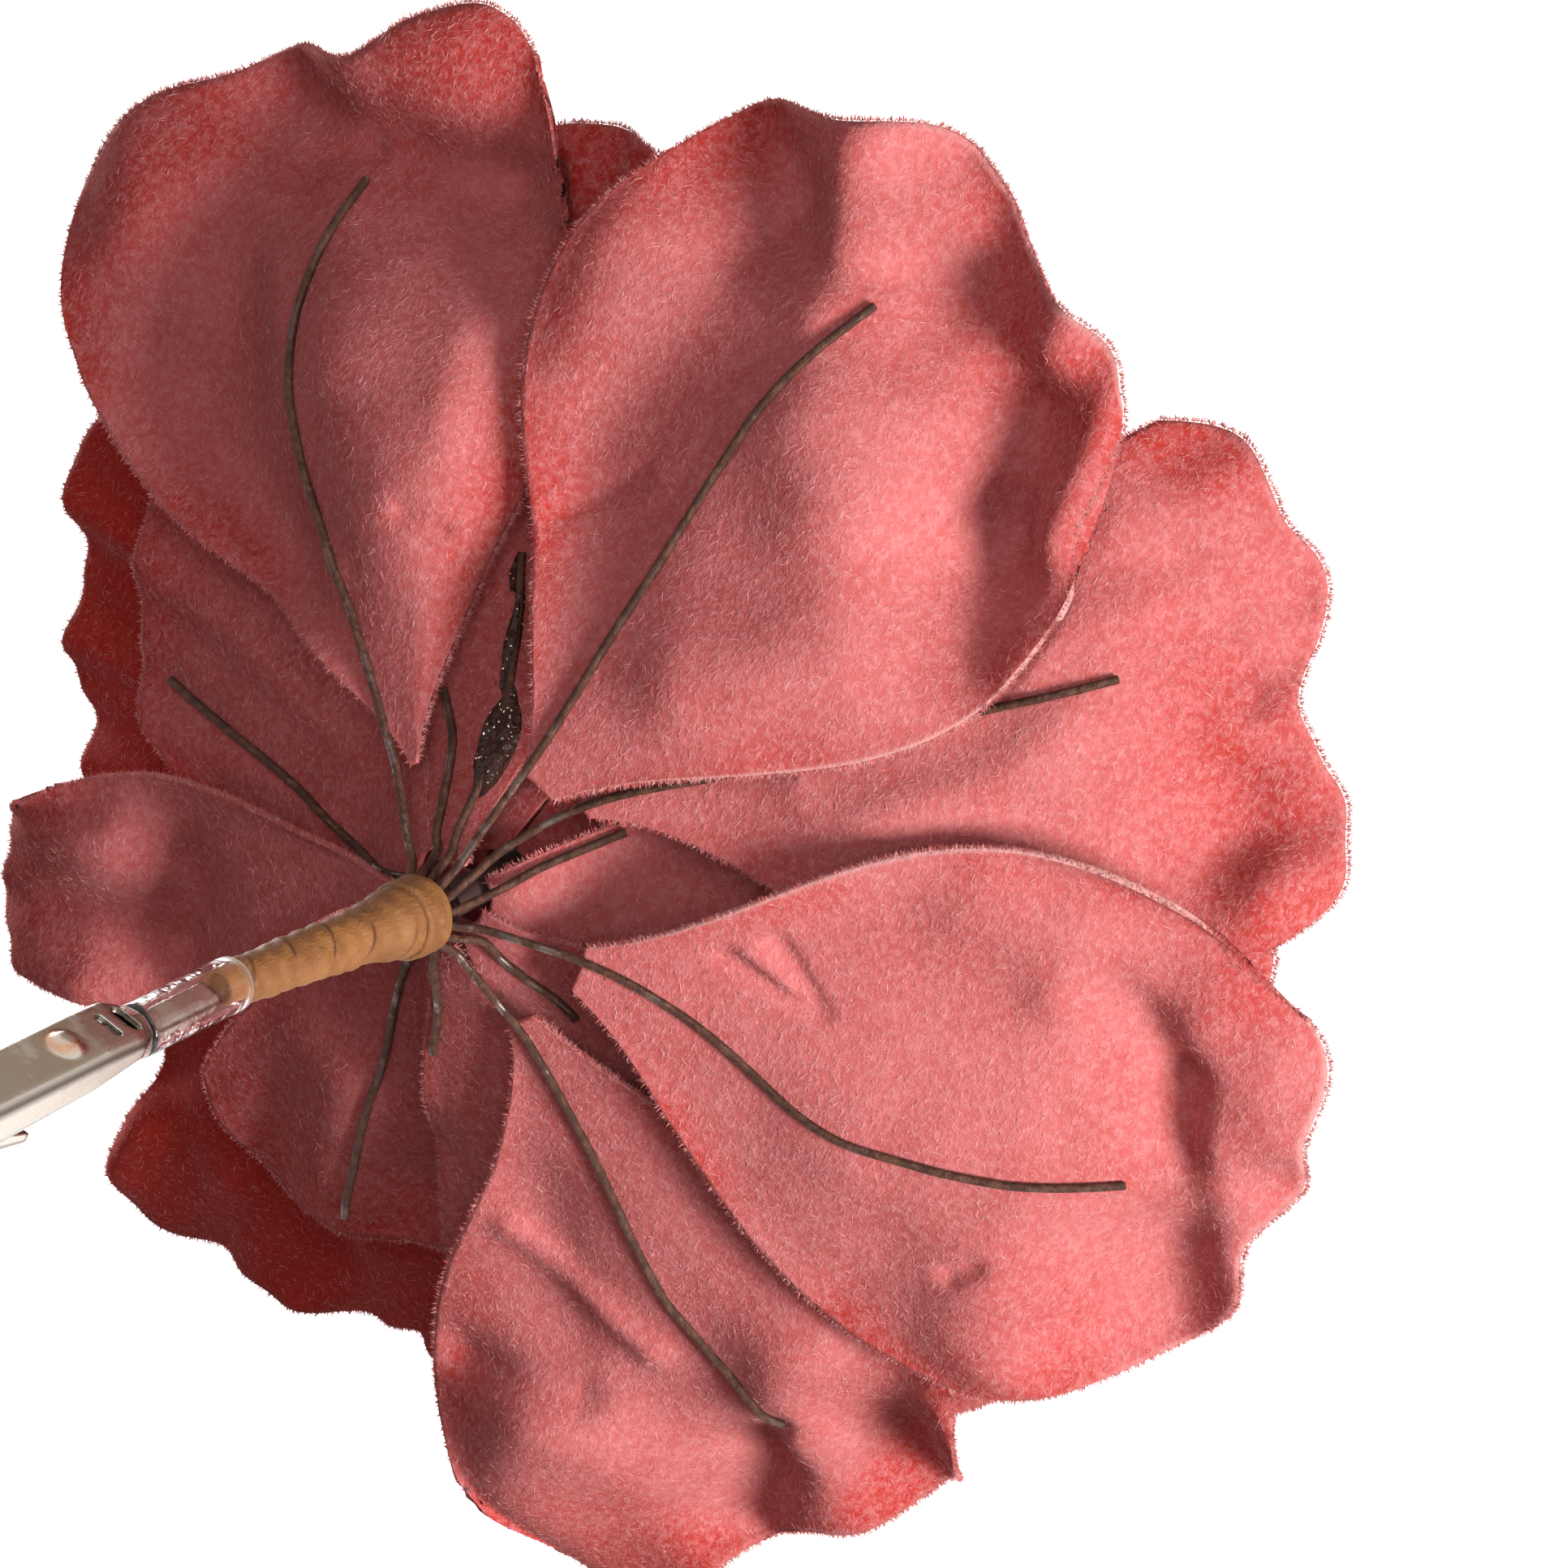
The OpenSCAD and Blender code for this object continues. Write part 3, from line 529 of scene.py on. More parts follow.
def petal_piece(name, petal, cols, rows, material):
    u, v, back_side = petal_surface(petal, cols, rows)
    du, dv = np.gradient(back_side, axis=1), np.gradient(back_side, axis=0)
    normal = np.cross(du, dv)
    normal /= np.linalg.norm(normal, axis=2, keepdims=True)
    normal *= np.sign(normal[..., 1:2])
    side = np.minimum(np.minimum(u, 1 - u) * cols, (1 - v) * rows)
    front_side = back_side + normal * PETAL_T
    points = np.concatenate([back_side.reshape(-1, 3), front_side.reshape(-1, 3)])
    n = rows * cols
    back_flip = np.cross(du[0, 0], dv[0, 0])[1] > 0
    faces = [grid_faces(rows, cols, 0, back_flip), grid_faces(rows, cols, n, not back_flip)]
    loop = grid_border(rows, cols)
    after = np.roll(loop, -1)
    rim = np.stack([loop, loop + n, after + n, after], 1)
    faces.append(rim[:, ::-1] if back_flip else rim)
    piece = mesh_piece(name, points, np.concatenate(faces), material)
    tone = petal.tone + 0.35 * soft((v - 0.86) / 0.14) * (petal.layer > 0)
    set_number(piece, "tone", np.concatenate([tone.ravel(), (tone + 0.35).ravel()]))
    rim_near = np.maximum(soft((v - 0.70) / 0.24), soft((np.abs(2 * u - 1) - 0.72) / 0.26) * soft(v / 0.3))
    set_number(piece, "rim", np.concatenate([rim_near.ravel(), rim_near.ravel()]))
    low_pale, high_pale = petal.pale
    near_edge = (1 - soft((side - 0.2) / 1.0)) * (low_pale * (1 - u) + high_pale * u)
    set_number(piece, "edge", np.concatenate([near_edge.ravel(), near_edge.ravel()]))
    return piece

SEEN_GRID = (110, 100)
HIDDEN_GRID = (64, 56)
DEEP_TONE = 0.9
petal_pieces = {}
for name, petal in PETALS.items():
    material = deep_velvet if petal.tone >= DEEP_TONE else rose_velvet
    cols, rows = SEEN_GRID if petal.layer < WHORL_LAYER else HIDDEN_GRID
    piece = petal_piece(f"cloth_{name}", petal, cols, rows, material)
    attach(piece, FLOWER)
    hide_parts(name)
    petal_pieces[name] = piece
print("petal faces", sum(len(p.data.polygons) for p in petal_pieces.values()))

# %% [markdown]
# ## Turned pieces and tubes
# Tape, sleeve, pin and bud are all round about a line, so one small lathe makes them: a profile of
# radius and height, turned round an axis, with its ends closed. It takes functions for the radius, because
# wound tape and wrapped petals aren't perfectly round.

# %% A lathe
def frame_along(axis):
    """Two directions square to an axis, as rows."""
    axis = np.asarray(axis, float) / np.linalg.norm(axis)
    side = np.cross(axis, (0.0, 0.0, 1.0))
    side /= np.linalg.norm(side)
    return axis, side, np.cross(side, axis)

def lathe(name, origin, axis, profile, material, around=48, swell=None):
    """Turn a closed loop of (radius, height) into a ring, or an open one whose ends are on the axis."""
    axis, side, up = frame_along(axis)
    profile = np.asarray(profile, float)
    closed = profile[0, 0] > 1e-6
    turn = np.linspace(0, 2 * math.pi, around, endpoint=False)
    r = profile[:, 0][:, None].repeat(around, 1)
    h = profile[:, 1][:, None].repeat(around, 1)
    if swell is not None:
        r = r + swell(h, turn[None, :].repeat(len(profile), 0)) * (r > 1e-6)
    points = (np.asarray(origin, float) + h[..., None] * axis
              + r[..., None] * (np.cos(turn)[None, :, None] * side + np.sin(turn)[None, :, None] * up))
    rows = len(profile)
    faces = []
    for i in range(rows if closed else rows - 1):
        a, b = i * around, (i + 1) % rows * around
        for k in range(around):
            n = (k + 1) % around
            faces.append((a + k, a + n, b + n, b + k))
    piece = mesh_piece(name, points.reshape(-1, 3), faces, material)
    tidy(piece)
    return piece

def tidy(piece):
    """Merge doubled points, drop flat faces and turn every face outwards."""
    work = bmesh.new()
    work.from_mesh(piece.data)
    bmesh.ops.remove_doubles(work, verts=work.verts, dist=1e-7)
    bmesh.ops.dissolve_degenerate(work, edges=work.edges, dist=1e-8)
    bmesh.ops.recalc_face_normals(work, faces=work.faces)
    work.to_mesh(piece.data)
    work.free()
    piece.data.update()

# %% [markdown]
# ## The petal wires
# Each petal is held by a thin steel wire wound in brown paper and glued along the petal's back. A wire
# follows a path, so Geometry Nodes make it: the path becomes a curve, a small circle runs along it, and
# the distance along is stored on the surface for the paper's spiral. The same tree makes the spring.

# %% A tree that turns a path into a wire
def new_tree(name, given, floats, whole, result):
    """A Geometry Nodes tree with its sockets, and the nodes that take things in and pass them out."""
    tree = bpy.data.node_groups.new(name, "GeometryNodeTree")
    sockets = [(given, "Geometry"), *[(label, "Float") for label in floats], (whole, "Int"),
               ("Material", "Material")]
    for label, kind in sockets:
        tree.interface.new_socket(label, in_out="INPUT", socket_type=f"NodeSocket{kind}")
    tree.interface.new_socket(result, in_out="OUTPUT", socket_type="NodeSocketGeometry")
    return tree, tree.nodes.new("NodeGroupInput"), tree.nodes.new("NodeGroupOutput")

def pass_out(tree, start, end, made):
    """Turn what was made into plain faces, and give them the material."""
    real = tree.nodes.new("GeometryNodeRealizeInstances")
    finish = tree.nodes.new("GeometryNodeSetMaterial")
    tree.links.new(made, real.inputs[0])
    tree.links.new(real.outputs[0], finish.inputs["Geometry"])
    tree.links.new(start.outputs["Material"], finish.inputs["Material"])
    tree.links.new(finish.outputs[0], end.inputs[0])

def wire_tree():
    tree, start, end = new_tree("wire along a path", "Path", ("Radius", "Spacing"), "Sides", "Wire")
    new, link = tree.nodes.new, tree.links.new

    def keep(name, curve, value):
        node = new("GeometryNodeStoreNamedAttribute")
        node.data_type = "FLOAT"
        node.inputs["Name"].default_value = name
        link(curve, node.inputs["Geometry"])
        link(value, node.inputs["Value"])
        return node.outputs[0]

    to_curve = new("GeometryNodeMeshToCurve")
    link(start.outputs["Path"], to_curve.inputs[0])
    spaced = new("GeometryNodeResampleCurve")
    spaced.mode = "LENGTH"
    link(to_curve.outputs[0], spaced.inputs["Curve"])
    link(start.outputs["Spacing"], spaced.inputs["Length"])
    circle = new("GeometryNodeCurvePrimitiveCircle")
    link(start.outputs["Sides"], circle.inputs["Resolution"])
    link(start.outputs["Radius"], circle.inputs["Radius"])
    along = new("GeometryNodeSplineParameter")
    side = new("GeometryNodeSplineParameter")
    swept = new("GeometryNodeCurveToMesh")
    swept.inputs["Fill Caps"].default_value = True
    link(keep("along", spaced.outputs[0], along.outputs["Length"]), swept.inputs["Curve"])
    link(keep("side", circle.outputs[0], side.outputs["Factor"]), swept.inputs["Profile Curve"])
    smooth = new("GeometryNodeSetShadeSmooth")
    link(swept.outputs[0], smooth.inputs["Geometry"])
    pass_out(tree, start, end, smooth.outputs[0])
    return tree

WIRE_TREE = wire_tree()

def keep_result(piece):
    """Replace a piece's mesh with what its modifiers make of it."""
    seen = bpy.context.evaluated_depsgraph_get()
    plain = bpy.data.meshes.new_from_object(piece.evaluated_get(seen), depsgraph=seen)
    piece.modifiers.clear()
    piece.data = plain

def grown(piece, tree, values):
    """Run a Geometry Nodes tree on a piece and keep the result as its plain mesh."""
    modifier = piece.modifiers.new("grow", "NODES")
    modifier.node_group = tree
    for item in tree.interface.items_tree:
        if item.in_out == "INPUT" and item.name in values:
            modifier[item.identifier] = values[item.name]
    keep_result(piece)

def wire_piece(name, path_mm, radius_mm, material, spacing_mm=0.5, sides=10):
    path = bpy.data.meshes.new(name)
    edges = [(i, i + 1) for i in range(len(path_mm) - 1)]
    path.from_pydata((np.asarray(path_mm) * MM).tolist(), edges, [])
    piece = add_object(name, path)
    grown(piece, WIRE_TREE, {"Radius": radius_mm * MM, "Spacing": spacing_mm * MM, "Sides": sides,
                             "Material": material})
    tidy(piece)
    return piece

# %% [markdown]
# Brown floral paper on wire is dull, with a fine spiral where the strip overlaps itself, and near the stem
# dried glue leaves it dark and glossy with small bright glints.

# %% Paper-covered wire
PAPER_TURN = 1.9
GLUE_NEAR = 14
GLUE_FAR = 30

def wire_finish():
    board = Board("brown wound paper")
    place = board.place()
    along = board.number("along")
    side = board.number("side")
    lap = board.node("ShaderNodeMath", {"operation": "FRACT"}, {0: along * (1 / (PAPER_TURN * MM)) + side})
    seam = board.between(lap, 0.0, 0.18, 1.0, 0.0)
    mottle = board.between(board.noise(place, 900, 4), 0.35, 0.7)
    glue = board.between(board.noise(place, 420, 3), 0.52, 0.64)
    colour = board.mix(mottle, (0.040, 0.015, 0.009), (0.105, 0.044, 0.026))
    colour = board.mix(seam * 0.6, colour, (0.020, 0.009, 0.006))
    from_hub = board.node("ShaderNodeVectorMath", {"operation": "DISTANCE"},
                          {0: place, 1: tuple(hub * MM)}, "Value")
    glue = glue * board.between(from_hub, GLUE_NEAR * MM, GLUE_FAR * MM, 1.0, 0.25)
    return board.finish(
        Base_Color=colour, Roughness=0.70 - 0.52 * glue, Coat_Weight=glue * 0.6, Coat_Roughness=0.12,
        Specular_IOR_Level=0.22,
        Normal=board.bump(lap * 0.5 + mottle * 0.8, 0.00016, 0.9))

wire_paper = wire_finish()

WIRE_R = 0.38
WIRE_TURN = 0.9
WIRE_TAIL = 4.0
WIRE_RING_R = 2.25
WIRE_RISE = 2.5
WIRE_CLEAR = 0.04
SLEEVE_END = sleeve_high[1]
stem_base = np.array([0.0, SLEEVE_END, 0.0])
stem_axis = (hub - stem_base) / np.linalg.norm(hub - stem_base)
STEM_LEN = hub[1] - RIM_GAP - SLEEVE_END
WIRES = {
    "wire_top_left": ("petal_top_left", 163, [(6, 152), (15, 147), (39, 146), (50, 143), (60, 137)]),
    "wire_top": ("petal_top", 88, [(5, 87), (15, 86), (34, 88.5), (48, 88.5), (60, 86)]),
    "wire_right": ("petal_right", 63, [(5, 73), (11, 69), (24, 56), (40, 51.5), (56, 49)]),
    "wire_lower_right": ("petal_lower_right", 8, [(6, 12), (15, 10), (32, -2), (45, -1), (58, 3)]),
    "wire_bottom": ("petal_bottom", -50, [(6, -42), (15, -40), (37, -46), (46, -45), (55, -42)]),
    "wire_bottom_under": ("petal_bottom_under", -82, [(5, -82), (8, -84), (12, -84), (18, -84)]),
    "wire_lower_left": ("petal_lower_left", -112, [(5, -114), (14, -111), (27, -100), (46, -95)]),
    "wire_upper_left": ("petal_upper_left", 196, [(5, 201), (11, 206), (22, 195), (40, 192)]),
    "wire_top_under": ("petal_top_under", 138, [(5, 138), (8, 134), (12, 133), (17, 135)]),
    "wire_glued": ("petal_top_under", 113, [(5, 116), (9, 113), (18, 113), (28, 116)]),
    "wire_right_under": ("petal_right_under", 36, [(4.5, 44), (7, 50), (10, 51), (13, 51)]),
    "wire_low_under": ("petal_low_under", -23, [(5, -27), (8, -29), (11, -30), (14, -31)]),
}

def wire_path(petal_name, ring, stops):
    petal = PETALS[petal_name]
    knots = np.array([(WIRE_RING_R + 0.25, ring), *stops], float)
    route = along_knots(knots, np.linspace(0, 1, 70))
    r, bearing = route[:, 0], route[:, 1]
    here = placed_y(petal, r, bearing)
    slope = (placed_y(petal, r + 0.4, bearing) - placed_y(petal, r - 0.4, bearing)) / 0.8
    lie = here - (WIRE_R + WIRE_CLEAR) * np.sqrt(1 + slope ** 2)
    y = -WIRE_TURN + (lie + WIRE_TURN) * soft((r - WIRE_RING_R) / WIRE_RISE)
    inside = at(WIRE_RING_R, ring, -WIRE_TURN)
    tail = [inside - s * stem_axis for s in (WIRE_TAIL + RIM_GAP, WIRE_TAIL / 2, 0.3)]
    return np.concatenate([np.array(tail), at(r, bearing, y)])

for name, (petal_name, ring, stops) in WIRES.items():
    piece = wire_piece(f"paper_{name}", wire_path(petal_name, ring, stops), WIRE_R, wire_paper)
    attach(piece, FLOWER)
    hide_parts(name)
print(len(WIRES), "wires, each about", len(piece.data.polygons), "faces")

# %% [markdown]
# ## Glue where the wires meet
# The wires fan out of the stem through a lump of brown glue, and a dribble of it has set over one wire
# with glitter caught in it. The lumps are squashed balls with a noisy skin; the glitter is made further on.

# %% Glue lumps
def glue_finish():
    board = Board("dried brown glue")
    place = board.place()
    spots = board.between(board.noise(place, 2600, 2), 0.62, 0.70)
    return board.finish(
        Base_Color=board.mix(spots, (0.024, 0.0055, 0.003), (0.09, 0.034, 0.020)),
        Roughness=board.between(board.noise(place, 900, 2), 0.42, 0.56, 0.25, 0.85), Specular_IOR_Level=0.2,
        Normal=board.bump(board.noise(place, 1100, 3), 0.0005, 1.0))

brown_glue = glue_finish()

def core_finish():
    """The stem's core: brown paper like the tape's, soaked dark by the glue at its flower end."""
    board = Board("stem core wrap")
    place = board.place()
    height = board.node("ShaderNodeSeparateXYZ", {}, {0: place}, "Y")
    soaked = board.between(height, (hub[1] - 8) * MM, (hub[1] - 5) * MM)
    return board.finish(
        Base_Color=board.mix(soaked, (0.20, 0.085, 0.026), (0.030, 0.008, 0.005)), Roughness=0.8)

core_wrap = core_finish()

def glue_lump(name, centre, axes_mm, seed, count=3):
    """A lumpy ball: axes_mm are its three half lengths, as vectors."""
    work = bmesh.new()
    bmesh.ops.create_icosphere(work, subdivisions=count, radius=1.0)
    for vert in work.verts:
        p = np.array(vert.co)
        lump = 1 + 0.12 * math.sin(5 * p[0] + seed) * math.sin(4 * p[1] - seed)
        lump += 0.08 * math.sin(9 * p[2] + 2 * seed)
        q = centre + lump * (p[0] * axes_mm[0] + p[1] * axes_mm[1] + p[2] * axes_mm[2])
        vert.co = Vector(q * MM)
    mesh = bpy.data.meshes.new(name)
    work.to_mesh(mesh)
    work.free()
    mesh.materials.append(brown_glue)
    mesh.polygons.foreach_set("use_smooth", [True] * len(mesh.polygons))
    piece = add_object(name, mesh)
    tidy(piece)
    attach(piece, FLOWER)
    return piece

glue_lump("glue_at_hub", hub + np.array([0, 0.6, 0]),
          [np.array([2.1, 0, 0]), np.array([0, 1.3, 0]), np.array([0, 0, 2.1])], 1.3)

def on_petal(petal_name, r, bearing, lift=0.0):
    petal = PETALS[petal_name]
    r, bearing = np.array([float(r)]), np.array([float(bearing)])
    return at(r, bearing, placed_y(petal, r, bearing) - lift)[0]

DRIBBLES = [(12.2, 113, 5.8, 1.65, 1.0), (20.5, 114.5, 4.2, 0.6, 0.8), (26.3, 116.5, 1.6, 0.5, 0.7)]
dribbles = []
for number, (r, bearing, length, width, height) in enumerate(DRIBBLES, 1):
    middle = on_petal("petal_top_under", r, bearing, 0.2)
    ahead = on_petal("petal_top_under", r + 1, bearing, 0.2) - middle
    ahead /= np.linalg.norm(ahead)
    across = np.cross(ahead, (0, 1, 0))
    across /= np.linalg.norm(across)
    dribbles.append(glue_lump(
        f"glue_dribble_{number}", middle,
        [ahead * length, across * width, np.cross(ahead, across) * height], 0.7 * number, 4))

# %% [markdown]
# ## Floral tape
# The stem is wound with crepe tape, which is stretched so that it sticks to itself. Each turn leaves a
# slanting ridge, and the crepe crumples across it. The ridges are in the mesh, the crepe is in the bump,
# and patches along each seam are darkened in the colour as painted shade of the step. At the flower's end
# the tape is rolled back on itself into a thick collar.

# %% Tape finish
def tape_finish():
    board = Board("brown crepe tape")
    place = board.place()
    blotch = board.between(board.noise(place, 260, 4), 0.35, 0.7)
    crepe = board.noise(board.stretch(place, (2.6, 0.9, 2.6)), 1500, 3, 0.6)
    worn = board.between(board.noise(place, 900, 3), 0.58, 0.72)
    colour = board.mix(blotch, (0.245, 0.105, 0.030), (0.165, 0.063, 0.016))
    colour = board.mix(worn * 0.4, colour, (0.34, 0.17, 0.06))
    # Painted shade: patches along each seam of the wound strip are darkened, where the step would be in
    # shade.
    lap = board.number("lap")
    seam_shade_patches = board.between(board.noise(place, 180, 2), 0.5, 0.62)
    colour = board.mix(lap * seam_shade_patches, colour, (0.07, 0.022, 0.008))
    return board.finish(
        Base_Color=colour, Roughness=0.55 + 0.2 * blotch, Specular_IOR_Level=0.35,
        Normal=board.bump(crepe * 0.9 + blotch * 0.5, 0.00018, 0.8))

crepe_tape = tape_finish()

CORE_R = 1.3
TAPE_WALL = 0.3
STEM_PUSH = 2.3
COLLAR_T = 0.45
COLLAR_LEN = 3.4
TAPE_PITCH = 5.2
# How far the painted shade spreads from a seam, as a share of one turn.
LAP_SHADE = 0.07
tape_in = WIRE_RING_R + WIRE_R + 0.12
tape_end = tape_in + TAPE_WALL
flare_start = STEM_LEN - WIRE_TAIL - 4.5
flare_end = STEM_LEN - WIRE_TAIL - 0.8

def lap_at(height, turn):
    """0 just past a seam of the wound strip, rising to 1 at the next."""
    return np.mod(height / TAPE_PITCH - turn / (2 * math.pi), 1.0)

def tape_swell(height, turn):
    ridge = 0.10 * lap_at(height, turn) ** 3
    crumple = 0.08 * np.sin(3 * turn + 1.7 * height) * np.sin(1.1 * height)
    crumple = crumple + 0.03 * np.sin(7 * turn - 2.9 * height)
    return (ridge + crumple) * soft(height / 1.5)

def tape_profile():
    heights = np.linspace(-STEM_PUSH, STEM_LEN, 150)
    stops = [-STEM_PUSH, 0.35, 0.8, flare_start * 0.5, flare_start, flare_end, STEM_LEN]
    wound = CORE_R + TAPE_WALL
    radii = [wound, wound, wound + 0.35, wound + 0.6, wound + 0.8, tape_end, tape_end]
    outer = [(np.interp(h, stops, radii), h) for h in heights]
    inner = [(tape_in, STEM_LEN), (tape_in, flare_end), (CORE_R, flare_start), (CORE_R, -STEM_PUSH)]
    return outer + inner

tape = lathe("wound_tape", stem_base, stem_axis, tape_profile(), crepe_tape, 72, tape_swell)
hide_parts("floral_tape")

def collar_profile():
    bend = np.linspace(0, math.pi / 2, 7)
    low, high = STEM_LEN - COLLAR_LEN, STEM_LEN - COLLAR_T
    within = tape_end - 0.06
    outer = [(within + COLLAR_T * math.sin(a), low + COLLAR_T * (1 - math.cos(a))) for a in bend]
    middle = [(within + COLLAR_T, h) for h in np.linspace(low + COLLAR_T, high, 24)[1:-1]]
    lip = [(within + COLLAR_T * math.cos(a), STEM_LEN - COLLAR_T * (1 - math.sin(a))) for a in bend]
    return outer + middle + lip + [(tape_in + 0.05, STEM_LEN + 0.05), (tape_in + 0.05, low + 0.6)]

collar = lathe("rolled_collar", stem_base, stem_axis, collar_profile(), crepe_tape, 72,
               lambda h, turn: 0.10 * lap_at(h * 1.5, turn) ** 4 + 0.03 * np.sin(5 * turn + 3 * h))
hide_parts("tape_collar")

for piece in (tape, collar):
    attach(piece, FLOWER)
    points = np.array([vert.co for vert in piece.data.vertices]) / MM - stem_base
    axis, side, up = frame_along(stem_axis)
    turn = np.mod(np.arctan2(points @ up, points @ side), 2 * math.pi)
    seam = lap_at(points @ axis, turn)
    # Painted shade along the seams: 1 at a seam, fading to 0 a little way off.
    set_number(piece, "lap", soft((LAP_SHADE - np.minimum(seam, 1 - seam)) / 0.05))
print("tape radii mm", CORE_R + TAPE_WALL, round(tape_end, 2), "stem length", round(STEM_LEN, 2))

# %% [markdown]
# ## Clear sleeve
# A short length of soft clear tube joins the taped stem to the clip's tongue. What shows is its two bright
# rims and a long streak of light, so it is a thin wall of clear plastic with softly rounded ends. The
# end over the tape was cut and is frosted.

# %% Sleeve
def sleeve_finish():
    board = Board("clear soft plastic")
    place = board.place()
    rub = board.between(board.noise(place, 700, 3), 0.5, 0.75)
    cut_end = board.number("cut end")
    return board.finish(
        Base_Color=board.mix(rub * 0.4, (0.99, 0.985, 0.975), (0.93, 0.90, 0.88)),
        Roughness=0.05 + 0.12 * rub + 0.6 * cut_end, IOR=1.42, Transmission_Weight=1.0,
        Normal=board.bump(board.noise(place, 350, 3), 0.0002, 0.35))

clear_plastic = sleeve_finish()
SLEEVE_R = (sleeve_high[0] - sleeve_low[0]) / 2
SLEEVE_BORE = 1.8
rim_round = (SLEEVE_R - SLEEVE_BORE) / 2
bend = np.linspace(0, math.pi, 9)
sleeve_middle = (SLEEVE_R + SLEEVE_BORE) / 2
far_rim = [(sleeve_middle + rim_round * math.cos(a), sleeve_high[1] - rim_round + rim_round * math.sin(a))
           for a in bend]
near_rim = [(sleeve_middle - rim_round * math.cos(a), sleeve_low[1] + rim_round - rim_round * math.sin(a))
            for a in bend]
RIM_SHOWN = 0.35
SWELL_FROM = 48
heights = np.linspace(sleeve_high[1] - RIM_SHOWN - 0.2, sleeve_low[1] + 1, 12)
bore = [(SLEEVE_BORE, h) for h in heights]
skin = [(SLEEVE_R, h) for h in heights[::-1]]
sleeve = lathe("clear_tube", (0, 0, 0), (0, 1, 0), far_rim + bore + near_rim + skin, clear_plastic, 64,
               lambda h, turn: 0.04 * np.sin(2 * turn + 0.5 * h) * soft((h - SWELL_FROM) / 8))
sleeve_y = np.array([vert.co.y for vert in sleeve.data.vertices]) / MM
set_number(sleeve, "cut end", soft((sleeve_y - sleeve_high[1] + RIM_SHOWN) / 0.1))
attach(sleeve, FLOWER)
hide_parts("clear_sleeve")
print("sleeve radii mm", round(SLEEVE_R, 2), SLEEVE_BORE)

# %% [markdown]
# ## The clip
# Both arms are pressed from nickel-plated strip: a flat back with its two long edges folded down into
# walls, a dimple punched in the back, two slots near the shoulder, and teeth cut in the walls at the jaws.
# A folded strip is a section that changes along its length, so each arm is lofted from one section with
# rounded folds, and the slots are cut out afterwards. Two numbers on the mesh are painted into the plating's
# colour: one is painted shade along the folds and inside the channel, the other a copper-red painted
# reflection in a ring on one side of the dimple.

# %% Nickel
# Painted reflection: the copper-red of the petals as the dimple would mirror them.
COPPER_REFLECTION = (0.50, 0.235, 0.125)
# Painted shade: this dark colour is mixed into the nickel along the folds and inside the channel.
IN_SHADE = (0.035, 0.016, 0.009)

def nickel_finish(name, tint, worn_tint):
    board = Board(name)
    place = board.place()
    brushed = board.noise(board.stretch(place, (7, 0.35, 7)), 900, 3, 0.6)
    scuff = board.between(board.noise(place, 320, 5, 0.7), 0.5, 0.72)
    grime = board.between(board.noise(place, 140, 4), 0.5, 0.75)
    colour = board.mix(grime * 0.5, tint, worn_tint)
    # Painted reflection: a copper-red ring on the dimple.
    colour = board.mix(board.number("painted_reflection"), colour, COPPER_REFLECTION)
    # Painted shade, from the mesh's shade number.
    colour = board.mix(board.number("shade"), colour, IN_SHADE)
    return board.finish(
        Base_Color=colour, Metallic=1.0, Roughness=0.22 + 0.16 * scuff + 0.08 * brushed,
        Normal=board.bump(brushed * 0.4 + scuff * 0.3, 0.00008, 0.5))

nickel = nickel_finish("nickel plate", (0.56, 0.53, 0.465), (0.40, 0.345, 0.27))
steel = nickel_finish("spring steel", (0.60, 0.58, 0.56), (0.40, 0.37, 0.34))

# %% Arms
ARM_W = 5.8
SHEET_T = 0.5
NEST_GAP = 0.3
PIVOT_Y = 19.0
SHOULDER_Y = PIVOT_Y + 26
NOSE = 6.0
LEVER_END = PIVOT_Y + 12
BACK_Z = 2.75
NECK_W = 2.6
NECK_H = 1.4
TOOTH_PITCH = 1.6
TOOTH_DEPTH = 0.7
JAW_GAP = 0.1
STEP = 0.4
# How much painted shade each point of half a section gets: none on the flat back, most along the fold, a
# little on the wall, and dark all over the inside.
FLAT_POINTS = 7
FOLD_SHADE = [0.0, 0.0, 0.2, 0.6, 0.9, 0.7]
WALL_SHADE = [0.15] * 5
INSIDE_SHADE = 0.9

def line(y, stops):
    stops = np.asarray(stops, float)
    return np.interp(y, stops[:, 0], stops[:, 1])

def toothed(y, base, depth, stops_behind):
    """The walls' free edge: teeth along the jaw, then a plain line behind it."""
    phase = np.mod((NOSE - y) / TOOTH_PITCH - 0.25, 1.0)
    tooth = np.where(phase < 0.5, phase * 2, 2 - phase * 2)
    return np.where(y <= NOSE, base + depth * tooth, line(y, stops_behind))

